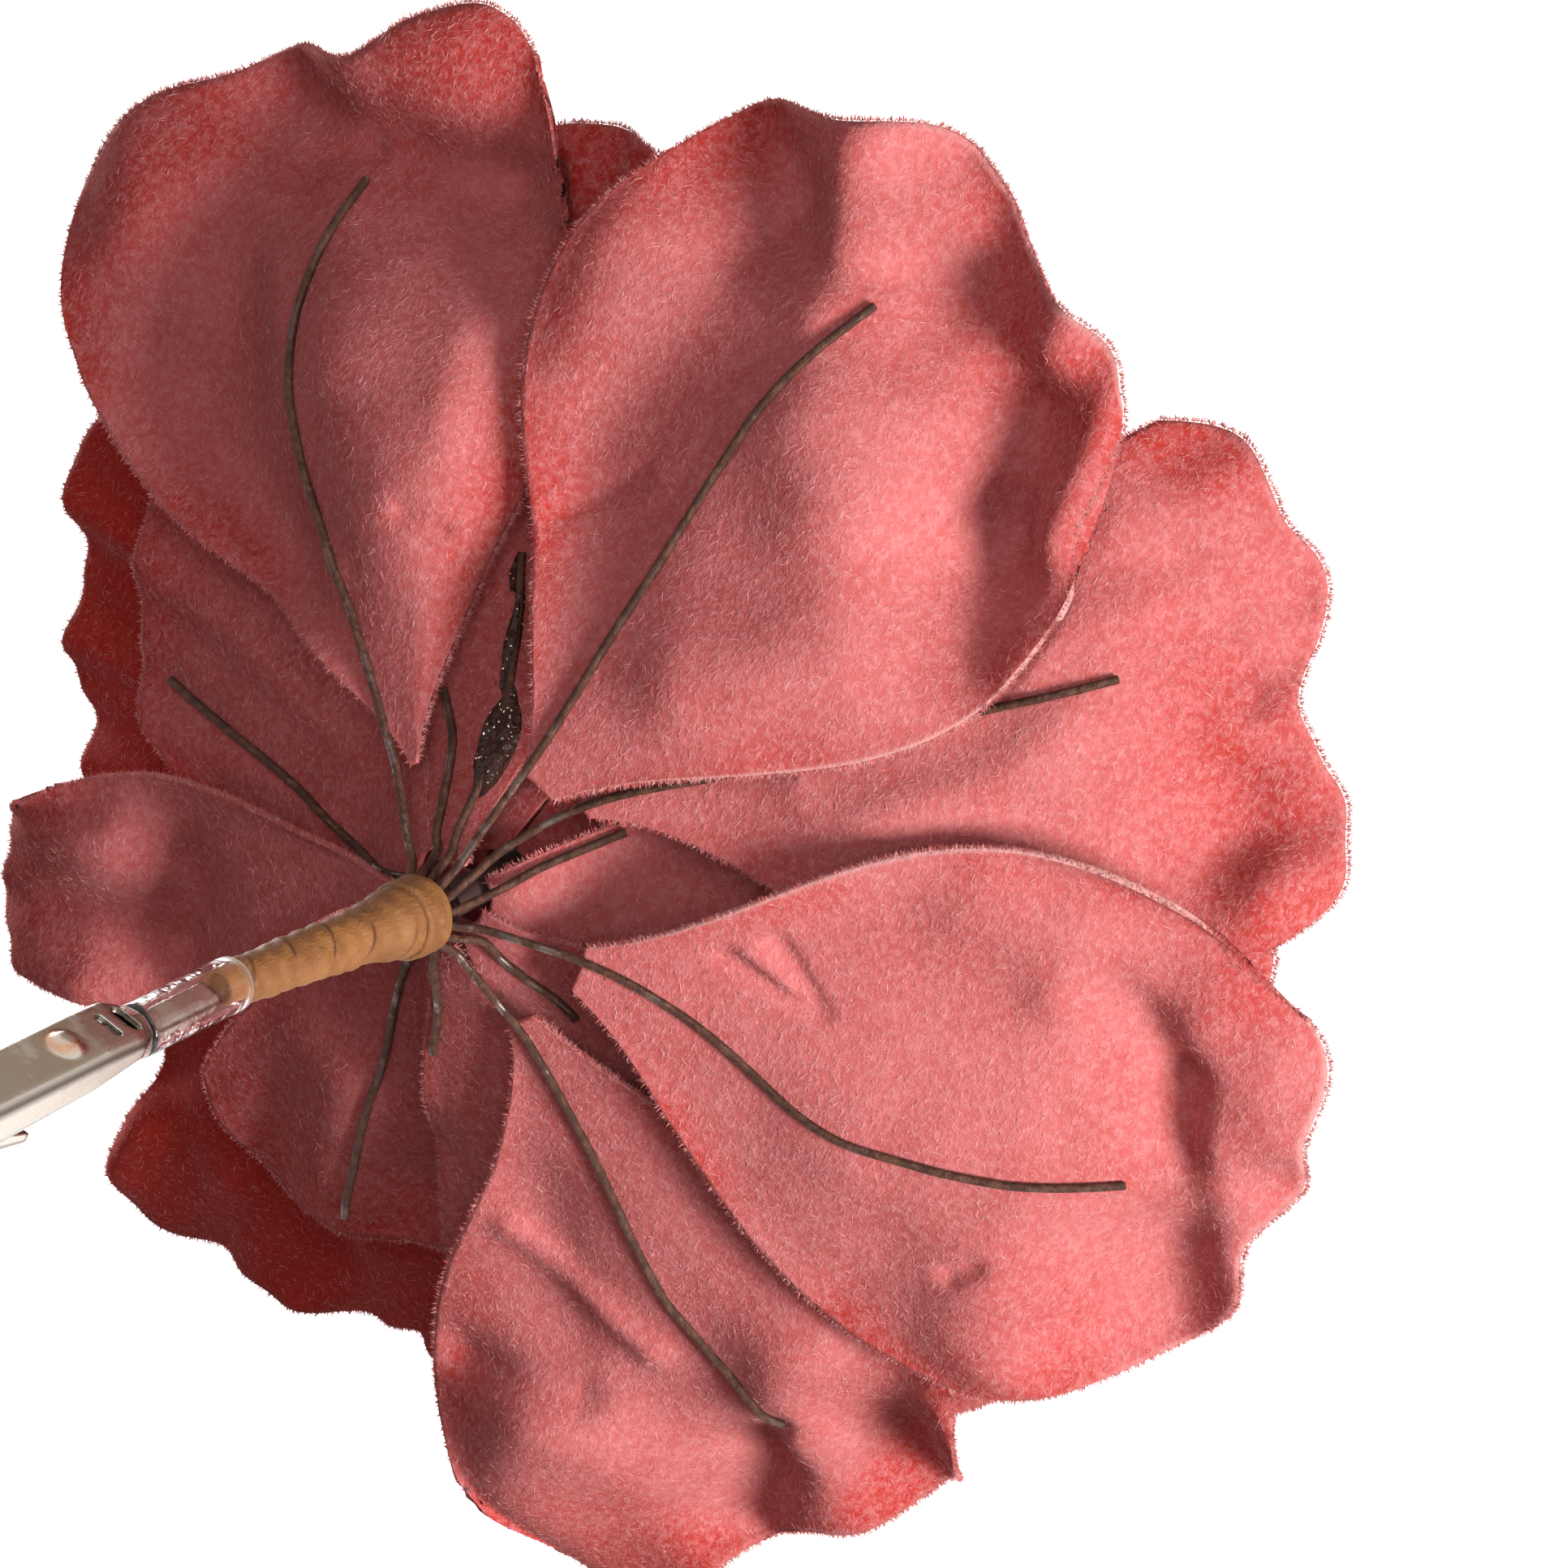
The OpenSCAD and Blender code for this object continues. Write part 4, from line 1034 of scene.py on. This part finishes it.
def channel(name, stations, width, back, free, fold, material):
    """A strip with folded edges: back(y) is its outer face, free(y) its walls' edge; z grows to the back."""
    rows = []
    half_shade = [0.0] * FLAT_POINTS + FOLD_SHADE + WALL_SHADE
    for y in stations:
        w, top, low = width(y) / 2, back(y), free(y)
        lean = np.sign(top - low)
        corner = np.linspace(0, math.pi / 2, len(FOLD_SHADE))

        def side(half, face, reach):
            reach = min(reach, 0.7 * abs(face - low))
            curve = [(half - reach + reach * math.sin(a), face - lean * reach * (1 - math.cos(a)))
                     for a in corner]
            flat = [(x, face) for x in np.linspace(0, half - reach, FLAT_POINTS + 1)[:-1]]
            wall = [(half, z) for z in np.linspace(curve[-1][1], low, len(WALL_SHADE) + 1)[1:]]
            return flat + curve + wall

        outer = side(w, top, fold)
        inner = side(w - SHEET_T, top - lean * SHEET_T, max(fold - SHEET_T, 0.12))
        left_inner = [(-x, z) for x, z in inner[1:]]
        loop = [(-x, z) for x, z in outer[:0:-1]] + outer + inner[::-1] + left_inner
        rows.append([(x, y, z) for x, z in loop])
    rows = np.array(rows)
    count, around = rows.shape[:2]
    faces = []
    for i in range(count - 1):
        for k in range(around):
            n = (k + 1) % around
            faces.append((i * around + k, i * around + n, (i + 1) * around + n, (i + 1) * around + k))
    half = around // 2
    for end in (0, count - 1):
        base = end * around
        for k in range(half):
            a, b = base + k, base + k + 1
            c, d = base + (around - 2 - k) % around, base + (around - 1 - k) % around
            faces.append((a, b, c, d) if len({a, b, c, d}) == 4 else tuple(dict.fromkeys((a, b, c, d))))
    faces = [face for face in faces if len(face) > 2]
    piece = mesh_piece(name, rows.reshape(-1, 3), faces, material)
    # Painted shade on the mesh: the inside of the channel and the fold are darkened in colour.
    inside = [INSIDE_SHADE] * (around - 2 * len(half_shade) + 1)
    set_number(piece, "shade", np.tile(half_shade[:0:-1] + half_shade + inside, count))
    tidy(piece)
    return piece

UPPER_BACK = [(-NOSE, 1.0), (-NOSE + 2, 1.4), (0, 1.7), (PIVOT_Y * 0.6, 2.45), (PIVOT_Y - 1, BACK_Z),
              (SHOULDER_Y - 7, BACK_Z), (SHOULDER_Y - 3, BACK_Z - 0.2), (SHOULDER_Y - 0.9, BACK_Z - 0.6),
              (SHOULDER_Y, NECK_H / 2 + 0.35)]
UPPER_FREE = [(NOSE + 0.5, JAW_GAP), (PIVOT_Y - 5, -0.4), (PIVOT_Y - 1.2, -1.6), (PIVOT_Y + 1.2, -1.6),
              (PIVOT_Y + 6, -1.4), (SHOULDER_Y - 8, -0.7), (SHOULDER_Y - 1.6, 0.6), (SHOULDER_Y, 0.3)]
DIMPLE_Y = SHOULDER_Y - 10
DIMPLE_R = 1.5
DIMPLE_H = 0.75
# Where the ring of painted reflection on the dimple is centred, off to one side.
REFLECTION_X = -0.35
REFLECTION_Y = -0.25
BACK_FROM_Z = 1.5

def upper_width(y):
    return line(y, [(SHOULDER_Y - 2.2, ARM_W), (SHOULDER_Y, NECK_W + 1.2)])

upper = channel("upper_arm_pressed", np.arange(-NOSE, SHOULDER_Y + 0.01, STEP), upper_width,
                lambda y: line(y, UPPER_BACK),
                lambda y: float(toothed(y, JAW_GAP, TOOTH_DEPTH, UPPER_FREE)), 0.9, nickel)

# %% The upper arm's dimple and slots
def press_dimple(piece):
    for vert in piece.data.vertices:
        x, y, z = (c / MM for c in vert.co)
        reach = math.hypot(x, y - DIMPLE_Y) / DIMPLE_R
        if z > BACK_FROM_Z and reach < 1.2:
            vert.co.z += float(soft((1.2 - reach) / 0.75)) * DIMPLE_H * MM
    piece.data.update()

def slot_cutter(length, across, middle_y):
    """A rounded bar that stands through the back."""
    half, r = across / 2, length / 2
    turn = np.linspace(-math.pi / 2, math.pi / 2, 9)
    right = [(half - r + r * math.cos(a), middle_y + r * math.sin(a)) for a in turn]
    left = [(-x, 2 * middle_y - y) for x, y in right]
    loop = right + left
    n = len(loop)
    points = [(x, y, z) for z in (0.9, 4.0) for x, y in loop]
    faces = [tuple(range(n))[::-1], tuple(range(n, 2 * n))]
    faces += [(k, (k + 1) % n, n + (k + 1) % n, n + k) for k in range(n)]
    cutter = mesh_piece("cutter", points, faces, nickel, smooth=False)
    tidy(cutter)
    return cutter

def cut(piece, cutter):
    modifier = piece.modifiers.new("cut", "BOOLEAN")
    modifier.object = cutter
    modifier.solver = "EXACT"
    keep_result(piece)
    bpy.data.objects.remove(cutter)

press_dimple(upper)
cut(upper, slot_cutter(0.75, 2.9, SHOULDER_Y - 4.4))
cut(upper, slot_cutter(1.5, 3.1, SHOULDER_Y - 1.9))
upper_points = np.array([vert.co for vert in upper.data.vertices]) / MM
# Painted reflection: a copper-red ring round the dimple, set off to one side, stands for the red petals
# mirrored in the dome.
from_reflection = np.hypot(upper_points[:, 0] - REFLECTION_X, upper_points[:, 1] - DIMPLE_Y - REFLECTION_Y)
reflection_ring = soft((1.9 - from_reflection) / 0.9) * soft((from_reflection - 0.5) / 0.8)
set_number(upper, "painted_reflection", reflection_ring * (upper_points[:, 2] > BACK_FROM_Z))
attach(upper, FLOWER)
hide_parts("upper_arm")
print("upper arm faces", len(upper.data.polygons))

# %% The tongue inside the sleeve
NECK_END = SLEEVE_END - STEM_PUSH - 1.0
SLOT_SHADE = 0.92
TONGUE_ROOT = SHOULDER_Y - 6.2
TONGUE_WIDTH = [(SHOULDER_Y, NECK_W + 0.5), (SHOULDER_Y + 2, NECK_W)]
TONGUE_BACK = [(TONGUE_ROOT, 1.2), (SHOULDER_Y - 1, 1.35), (SHOULDER_Y + 1.5, NECK_H / 2)]
tongue = channel("tongue_pressed", np.arange(TONGUE_ROOT, NECK_END + 0.01, 0.5),
                 lambda y: line(y, TONGUE_WIDTH), lambda y: line(y, TONGUE_BACK),
                 lambda y: -NECK_H / 2, 0.55, nickel)
tongue_y = np.array([vert.co.y for vert in tongue.data.vertices]) / MM
# Painted shade: the tongue is darkened behind the shoulder, where it shows through the slots.
set_number(tongue, "shade", SLOT_SHADE * soft((SHOULDER_Y - 0.2 - tongue_y) / 0.6))
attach(tongue, FLOWER)

# %% The lower arm
LOWER_W = ARM_W - 2 * SHEET_T - 2 * NEST_GAP
LOWER_BACK = [(-NOSE, -1.0), (-NOSE + 2, -1.4), (0, -1.7), (PIVOT_Y * 0.6, -2.6), (PIVOT_Y, -2.9),
              (PIVOT_Y + 5, -3.4), (LEVER_END, -4.8)]
LOWER_FREE = [(NOSE + 0.5, -JAW_GAP), (PIVOT_Y - 4, -0.5), (PIVOT_Y - 1.6, 0.8), (PIVOT_Y - 0.8, 1.5),
              (PIVOT_Y + 0.8, 1.5), (PIVOT_Y + 1.6, 0.8), (PIVOT_Y + 6, -1.4), (LEVER_END, -3.4)]
lower = channel("lower_arm_pressed", np.arange(-NOSE, LEVER_END + 0.01, STEP), lambda y: LOWER_W,
                lambda y: line(y, LOWER_BACK),
                lambda y: float(toothed(y, -JAW_GAP - TOOTH_DEPTH, TOOTH_DEPTH, LOWER_FREE)), 0.8, nickel)
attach(lower, JAW)
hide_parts("lower_arm")

# %% [markdown]
# ## Pin and spring
# The pin is riveted over at both ends, and the spring is a coil round it with one leg under the upper
# arm's back and the other on the lever. The coil's path is written down and the wire tree does the rest.

# %% Pin and spring
PIN_R = 0.8
SPRING_R = 0.275
COIL_R = PIN_R + 0.12 + SPRING_R
COIL_PITCH = 0.58
TURNS = 3
LEG_X = -(TURNS + 1) * COIL_PITCH / 2
LEG_REACH = 7.0
RIVET_R = 1.3
rivet = [(PIN_R, 0), (RIVET_R, 0), (RIVET_R, 0.12), (1.1, 0.25), (0.75, 0.42), (0, 0.45)]
pin_profile = [(r, -ARM_W / 2 - out) for r, out in rivet[::-1]] + [(r, ARM_W / 2 + out) for r, out in rivet]
pin = lathe("riveted_pin", (0, PIVOT_Y, 0), (1, 0, 0), pin_profile, nickel, 40)
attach(pin, FLOWER)
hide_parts("pivot_pin")

def round_pin(x, degrees):
    a = math.radians(degrees)
    return (x, PIVOT_Y + COIL_R * math.cos(a), COIL_R * math.sin(a))

coil_path = [round_pin(LEG_X + COIL_PITCH * (1 + a / 360), -90 - a)
             for a in range(0, 360 * TURNS - 179, 12)]
last_x = LEG_X + COIL_PITCH * (TURNS + 0.5)
coil_path += [(last_x, PIVOT_Y + 1.8, COIL_R + 0.25),
              (last_x, PIVOT_Y + LEG_REACH, BACK_Z - SHEET_T - SPRING_R - 0.1)]
coil = wire_piece("coiled_spring", coil_path, SPRING_R, steel, 0.2, 12)
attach(coil, FLOWER)
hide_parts("spring_coil")
lever_z = float(line(PIVOT_Y + LEG_REACH, LOWER_BACK)) + SHEET_T
leg_path = [round_pin(LEG_X, a) for a in range(90, 271, 12)]
leg_path += [(LEG_X, PIVOT_Y + 1.8, -COIL_R - 0.3), (LEG_X, PIVOT_Y + LEG_REACH, lever_z + SPRING_R + 0.1)]
leg = wire_piece("spring_lower_leg", leg_path, SPRING_R, steel, 0.2, 12)
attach(leg, JAW)
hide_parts("spring_leg")

# %% [markdown]
# ## The bud
# Three strips of the same cloth are rolled round a padded core, each standing a little lower and wider
# than the last, with a curled lip. A roll is a height along the axis, a bearing, and a radius that
# opens out, and the lip waves more the nearer it is to the top.

# %% The bud's petals and core
BUD = {
    "bud_petal_1": (4.6, 20, 230, 0.0),
    "bud_petal_2": (6.6, 160, 220, 1.5),
    "bud_petal_3": (8.6, 290, 210, 3.5),
}
BUD_FOOT = 15.5
BUD_TOP = 38.0
BUD_TONE = 0.55
CORE_TONE = 0.8
BUD_GRID = (72, 40)

def bud_piece(name, waist, first, sweep, shorter):
    cols, rows = BUD_GRID
    u, v = unit_grid(rows, cols)
    top = BUD_TOP - shorter
    crown = 1 - 0.10 * np.abs(2 * u - 1) ** 3 + 0.035 * np.sin(9 * u + waist)
    height = BUD_FOOT + (top - BUD_FOOT) * v * crown
    share = (height - BUD_FOOT) / (top - BUD_FOOT)
    radius = waist * along_knots([0.42, 0.86, 1.0, 0.95, 1.05], np.clip(share, 0, 1))
    radius = radius + 0.35 * v ** 3 * np.sin(17 * u + 2 * waist) + 0.25 * v * np.sin(6 * u + waist)
    bearing = first + sweep * u
    points = np.concatenate([at(r, bearing, height).reshape(-1, 3) for r in (radius, radius + PETAL_T)])
    n = rows * cols
    loop = grid_border(rows, cols)
    after = np.roll(loop, -1)
    faces = np.concatenate([grid_faces(rows, cols, 0, True), grid_faces(rows, cols, n, False),
                            np.stack([loop, loop + n, after + n, after], 1)[:, ::-1]])
    piece = mesh_piece(name, points, faces, rose_velvet)
    tidy(piece)
    set_number(piece, "tone", np.full(len(piece.data.vertices), BUD_TONE))
    near = 1 - soft(((1 - v) * rows - 0.2) / 1.0)
    set_number(piece, "edge", np.concatenate([near.ravel(), near.ravel()]))
    return piece

for name, sizes in BUD.items():
    piece = bud_piece(f"cloth_{name}", *sizes)
    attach(piece, FLOWER)
    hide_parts(name)

core_profile = [(0, BUD_START), (1.2, 15.05), (1.7, 15.4), (1.9, 17), (2.3, 19.5), (2.9, 22.5),
                (3.2, 24.5), (3.15, 27), (2.9, 30.5), (2.3, 33), (1.4, 34.8), (0.7, 35.4), (0, 35.5)]
core = lathe("bud_wad", hub, (0, 1, 0), core_profile, deep_velvet, 48,
             lambda h, turn: 0.12 * np.sin(3 * turn + h) + 0.08 * np.sin(7 * turn - 0.8 * h))
set_number(core, "tone", np.full(len(core.data.vertices), CORE_TONE))
set_number(core, "edge", np.zeros(len(core.data.vertices)))
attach(core, FLOWER)
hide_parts("bud_core")

# %% Cloth sizes
def flat_size(petal):
    """The cut size of a petal before pressing: width, length and area in metres."""
    r, bearing = petal.polar(*unit_grid(41, 41))
    p = at(r, bearing, bowl_y(petal.layer, r, bearing, petal.steep)) * MM
    across = np.linalg.norm(np.diff(p, axis=1), axis=2).sum(1).max()
    along = np.linalg.norm(np.diff(p, axis=0), axis=2).sum(0).max()
    area = np.linalg.norm(np.cross(p[:-1, 1:] - p[:-1, :-1], p[1:, :-1] - p[:-1, :-1]), axis=2).sum()
    return across, along, area

print("cut sizes, mm (width, length)")
for name, piece in petal_pieces.items():
    width, length, area = flat_size(PETALS[name])
    print(" ", name, round(width / MM), "x", round(length / MM), "area mm2", round(area / MM ** 2))
for name, (waist, first, sweep, shorter) in BUD.items():
    width = math.radians(sweep) * waist * 1.05 * MM
    length = (BUD_TOP - shorter - BUD_FOOT + waist * 0.3) * MM
    print(" ", name, round(width / MM), "x", round(length / MM))

# %% The stem's core, inside the tape
stem_core = bpy.data.objects["stem_core"]
stem_core.data.materials.clear()
stem_core.data.materials.append(core_wrap)

# %% [markdown]
# ## Loose fibres
# Where the cloth is cut, the pile frays into a soft fringe, and all over it single pale fibres lie loose on
# the darker pile. Both are far too many to place by hand: Geometry Nodes scatter points over an emitter
# mesh and stand a three-sided fibre on each, leaning by a random angle. The fringe grows from the cut
# edge's own faces, and the loose fibres from the petals' backs. Each fibre is only three faces. The same
# tree with short wide cones makes the bright glints that are caught in the dried glue.

# %% A tree that scatters fibres
LEAN_SEED = 11
SPIN_SEED = 23

def fibre_tree():
    floats = ("Density", "Length", "Thickness", "Least lean", "Most lean")
    tree, start, end = new_tree("fibres on a surface", "Emitter", floats, "Seed", "Fibres")
    new, link = tree.nodes.new, tree.links.new

    def draw(low, high, seed):
        """A number for each fibre; low and high are numbers or sockets."""
        node = new("FunctionNodeRandomValue")
        node.data_type = "FLOAT"
        node.inputs["Seed"].default_value = seed
        for socket, value in ((node.inputs[2], low), (node.inputs[3], high)):
            if isinstance(value, float):
                socket.default_value = value
            else:
                link(value, socket)
        return node.outputs[1]

    scatter = new("GeometryNodeDistributePointsOnFaces")
    link(start.outputs["Emitter"], scatter.inputs["Mesh"])
    link(start.outputs["Density"], scatter.inputs["Density"])
    link(start.outputs["Seed"], scatter.inputs["Seed"])
    fibre = new("GeometryNodeMeshCone")
    fibre.fill_type = "NONE"
    fibre.inputs["Vertices"].default_value = 3
    fibre.inputs["Radius Top"].default_value = 0.0
    link(start.outputs["Thickness"], fibre.inputs["Radius Bottom"])
    link(start.outputs["Length"], fibre.inputs["Depth"])
    stand = new("GeometryNodeInstanceOnPoints")
    link(scatter.outputs["Points"], stand.inputs["Points"])
    link(scatter.outputs["Rotation"], stand.inputs["Rotation"])
    link(fibre.outputs["Mesh"], stand.inputs["Instance"])
    link(draw(0.5, 1.4, 0), stand.inputs["Scale"])
    turn = new("ShaderNodeCombineXYZ")
    link(draw(start.outputs["Least lean"], start.outputs["Most lean"], LEAN_SEED), turn.inputs[0])
    link(draw(0.0, 2 * math.pi, SPIN_SEED), turn.inputs[2])
    rotate = new("GeometryNodeRotateInstances")
    link(stand.outputs[0], rotate.inputs["Instances"])
    link(turn.outputs[0], rotate.inputs["Rotation"])
    pass_out(tree, start, end, rotate.outputs[0])
    return tree

FIBRE_TREE = fibre_tree()

def fibre_finish(name, pale, dark):
    board = Board(name)
    tuft = board.noise(board.place(), 800, 2)
    return board.finish(
        Base_Color=board.mix(board.between(tuft, 0.35, 0.65), pale, dark), Roughness=0.8,
        Specular_IOR_Level=0.2, Sheen_Weight=0.3)

fringe_fibre = fibre_finish("fringe fibre", (0.66, 0.27, 0.26), (0.50, 0.10, 0.09))
loose_fibre = fibre_finish("loose fibre", (0.78, 0.42, 0.41), (0.55, 0.17, 0.16))

def fibres(name, emitter_points, emitter_faces, values):
    piece = mesh_piece(name, emitter_points, emitter_faces, values["Material"])
    grown(piece, FIBRE_TREE, values)
    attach(piece, FLOWER)
    print(name, len(piece.data.polygons), "faces")
    return piece

# %% Fringe and loose fibres
EMITTER_GRID = (90, 70)

def fringe_strip(flat, loop):
    """The cut edge as a strip of quads that face away from the petal's middle."""
    n = len(loop)
    strip = np.concatenate([flat[loop], flat[loop] + np.array([0, PETAL_T, 0])])
    k = np.arange(n - 1)
    quads = np.stack([k, k + 1, k + 1 + n, k + n], 1)
    corner = strip[quads[:, 0]]
    outward = np.cross(strip[quads[:, 1]] - corner, strip[quads[:, 3]] - corner)
    inwards = np.sum(outward * (corner - flat.mean(0))) < 0
    return strip, quads[:, ::-1] if inwards else quads

rim_points, rim_faces, back_points, back_faces = [], [], [], []
rim_count = back_count = 0
cols, rows = EMITTER_GRID
for petal in PETALS.values():
    if petal.layer >= WHORL_LAYER:
        continue
    surface = petal_surface(petal, cols, rows)[2]
    flat = surface.reshape(-1, 3)
    strip, quads = fringe_strip(flat, grid_border(rows, cols)[cols - 1:])
    rim_points.append(strip)
    rim_faces.append(quads + rim_count)
    rim_count += len(strip)
    corner = surface[rows // 2, 0]
    down = np.cross(surface[rows // 2, 1] - corner, surface[rows // 2 + 1, 0] - corner)
    back_points.append(flat)
    back_faces.append(grid_faces(rows, cols, back_count, down[1] > 0))
    back_count += rows * cols
fibres("frayed_edges", np.concatenate(rim_points), np.concatenate(rim_faces),
       {"Density": 4.4e7, "Length": 0.50 * MM, "Thickness": 0.055 * MM,
        "Least lean": 0.0, "Most lean": 1.1, "Seed": 4, "Material": fringe_fibre})
fibres("loose_fibres", np.concatenate(back_points), np.concatenate(back_faces),
       {"Density": 2.0e6, "Length": 0.75 * MM, "Thickness": 0.022 * MM,
        "Least lean": 1.25, "Most lean": 1.5, "Seed": 9, "Material": loose_fibre})

# %% Glints in the dried glue
def glint_finish():
    board = Board("glint")
    return board.finish(
        Base_Color=board.mix(board.noise(board.place(), 900, 1), (0.95, 0.86, 0.70), (0.60, 0.42, 0.25)),
        Metallic=1.0, Roughness=0.3)

glint = glint_finish()
lump_points, lump_faces, lump_count = [], [], 0
for lump in dribbles:
    lump_points.append(np.array([vert.co for vert in lump.data.vertices]) / MM)
    lump_faces += [[lump_count + k for k in face.vertices] for face in lump.data.polygons]
    lump_count += len(lump.data.vertices)
fibres("glue_glints", np.concatenate(lump_points), lump_faces,
       {"Density": 1.3e6, "Length": 0.06 * MM, "Thickness": 0.13 * MM,
        "Least lean": 0.0, "Most lean": 0.9, "Seed": 5, "Material": glint})

# %% [markdown]
# ## Studio
# The flower is held up in the air in front of plain white paper. The paper is a floor that curves up into
# a dome, and it glows evenly so that it reads as clean white. Light that bounced off so much white would
# wash the velvet out, so cloth isn't lit by the paper: only metal and plastic reflect it. One broad light
# from the lower right models the petals, a weaker one from the camera's side opens the shadows, and the sky
# is the dull red that the petals throw on each other. Two more lights, beyond the flower, light its face.
# A grey card gives the nickel something darker to reflect.

# %% Paper floor and dome
FLOOR_Z = -0.16
PAPER_R = 2.5

def paper_dome():
    work = bmesh.new()
    bmesh.ops.create_uvsphere(work, u_segments=96, v_segments=48, radius=PAPER_R)
    for vert in work.verts:
        vert.co.z = max(vert.co.z, FLOOR_Z)
    bmesh.ops.reverse_faces(work, faces=work.faces)
    mesh = bpy.data.meshes.new("floor")
    work.to_mesh(mesh)
    work.free()
    mesh.polygons.foreach_set("use_smooth", [True] * len(mesh.polygons))
    board = Board("white paper")
    grain = board.noise(board.place(), 60, 3)
    mesh.materials.append(board.finish(
        Base_Color=board.mix(grain, (0.86, 0.86, 0.86), (0.90, 0.90, 0.90)), Roughness=0.9,
        Emission_Color=(1, 1, 1, 1), Emission_Strength=0.97))
    paper = add_object("floor", mesh)
    paper.visible_diffuse = False
    paper.visible_shadow = False

paper_dome()

# %% Lights, card and sky
def facing_hub(direction, distance, front):
    """A place that far from the hub, with the axis named front along the direction."""
    place = Vector(hub * MM) + direction.normalized() * distance
    return Matrix.Translation(place) @ direction.to_track_quat(front, "Y").to_matrix().to_4x4()

def area_light(name, direction, distance, size, power, colour):
    data = bpy.data.lights.new(name, "AREA")
    data.size = size
    data.energy = power
    data.color = colour
    add_object(name, data).matrix_world = facing_hub(direction, distance, "Z")

KEY_WHITE = (1.0, 0.985, 0.97)
FILL_WHITE = (1.0, 0.95, 0.94)
area_light("key", view_right * 0.8 + view_up * -0.36 + back * 0.66, 0.9, 0.34, 14.4, KEY_WHITE)
area_light("fill", view_up * 0.15 + back * 1.0, 1.1, 0.7, 4.8, FILL_WHITE)
area_light("front key", view_right * -0.5 + view_up * 0.5 - back * 0.9, 1.0, 0.5, 12.0, KEY_WHITE)
area_light("front fill", view_right * 0.7 + view_up * 0.1 - back * 0.9, 1.1, 0.7, 5.0, FILL_WHITE)

def grey_card(direction, distance, size):
    data = bpy.data.meshes.new("card")
    h = size / 2
    data.from_pydata([(-h, -h, 0), (h, -h, 0), (h, h, 0), (-h, h, 0)], [], [(0, 1, 2, 3)])
    board = Board("grey card")
    data.materials.append(board.finish(Base_Color=(0.05, 0.045, 0.035, 1), Roughness=0.9,
                                       Emission_Color=(0.80, 0.68, 0.52, 1), Emission_Strength=0.52))
    card = add_object("card", data)
    card.matrix_world = facing_hub(direction, distance, "-Z")
    card.visible_camera = False
    card.visible_diffuse = False
    card.visible_shadow = False

grey_card(Vector((-back.x, -back.y, back.z)), 1.6, 1.5)
world = bpy.data.worlds.new("studio")
world.use_nodes = True
sky = world.node_tree.nodes["Background"]
sky.inputs["Color"].default_value = (1.0, 0.30, 0.26, 1)
sky.inputs["Strength"].default_value = 0.10
bpy.context.scene.world = world
bpy.context.scene.view_settings.view_transform = "Standard"
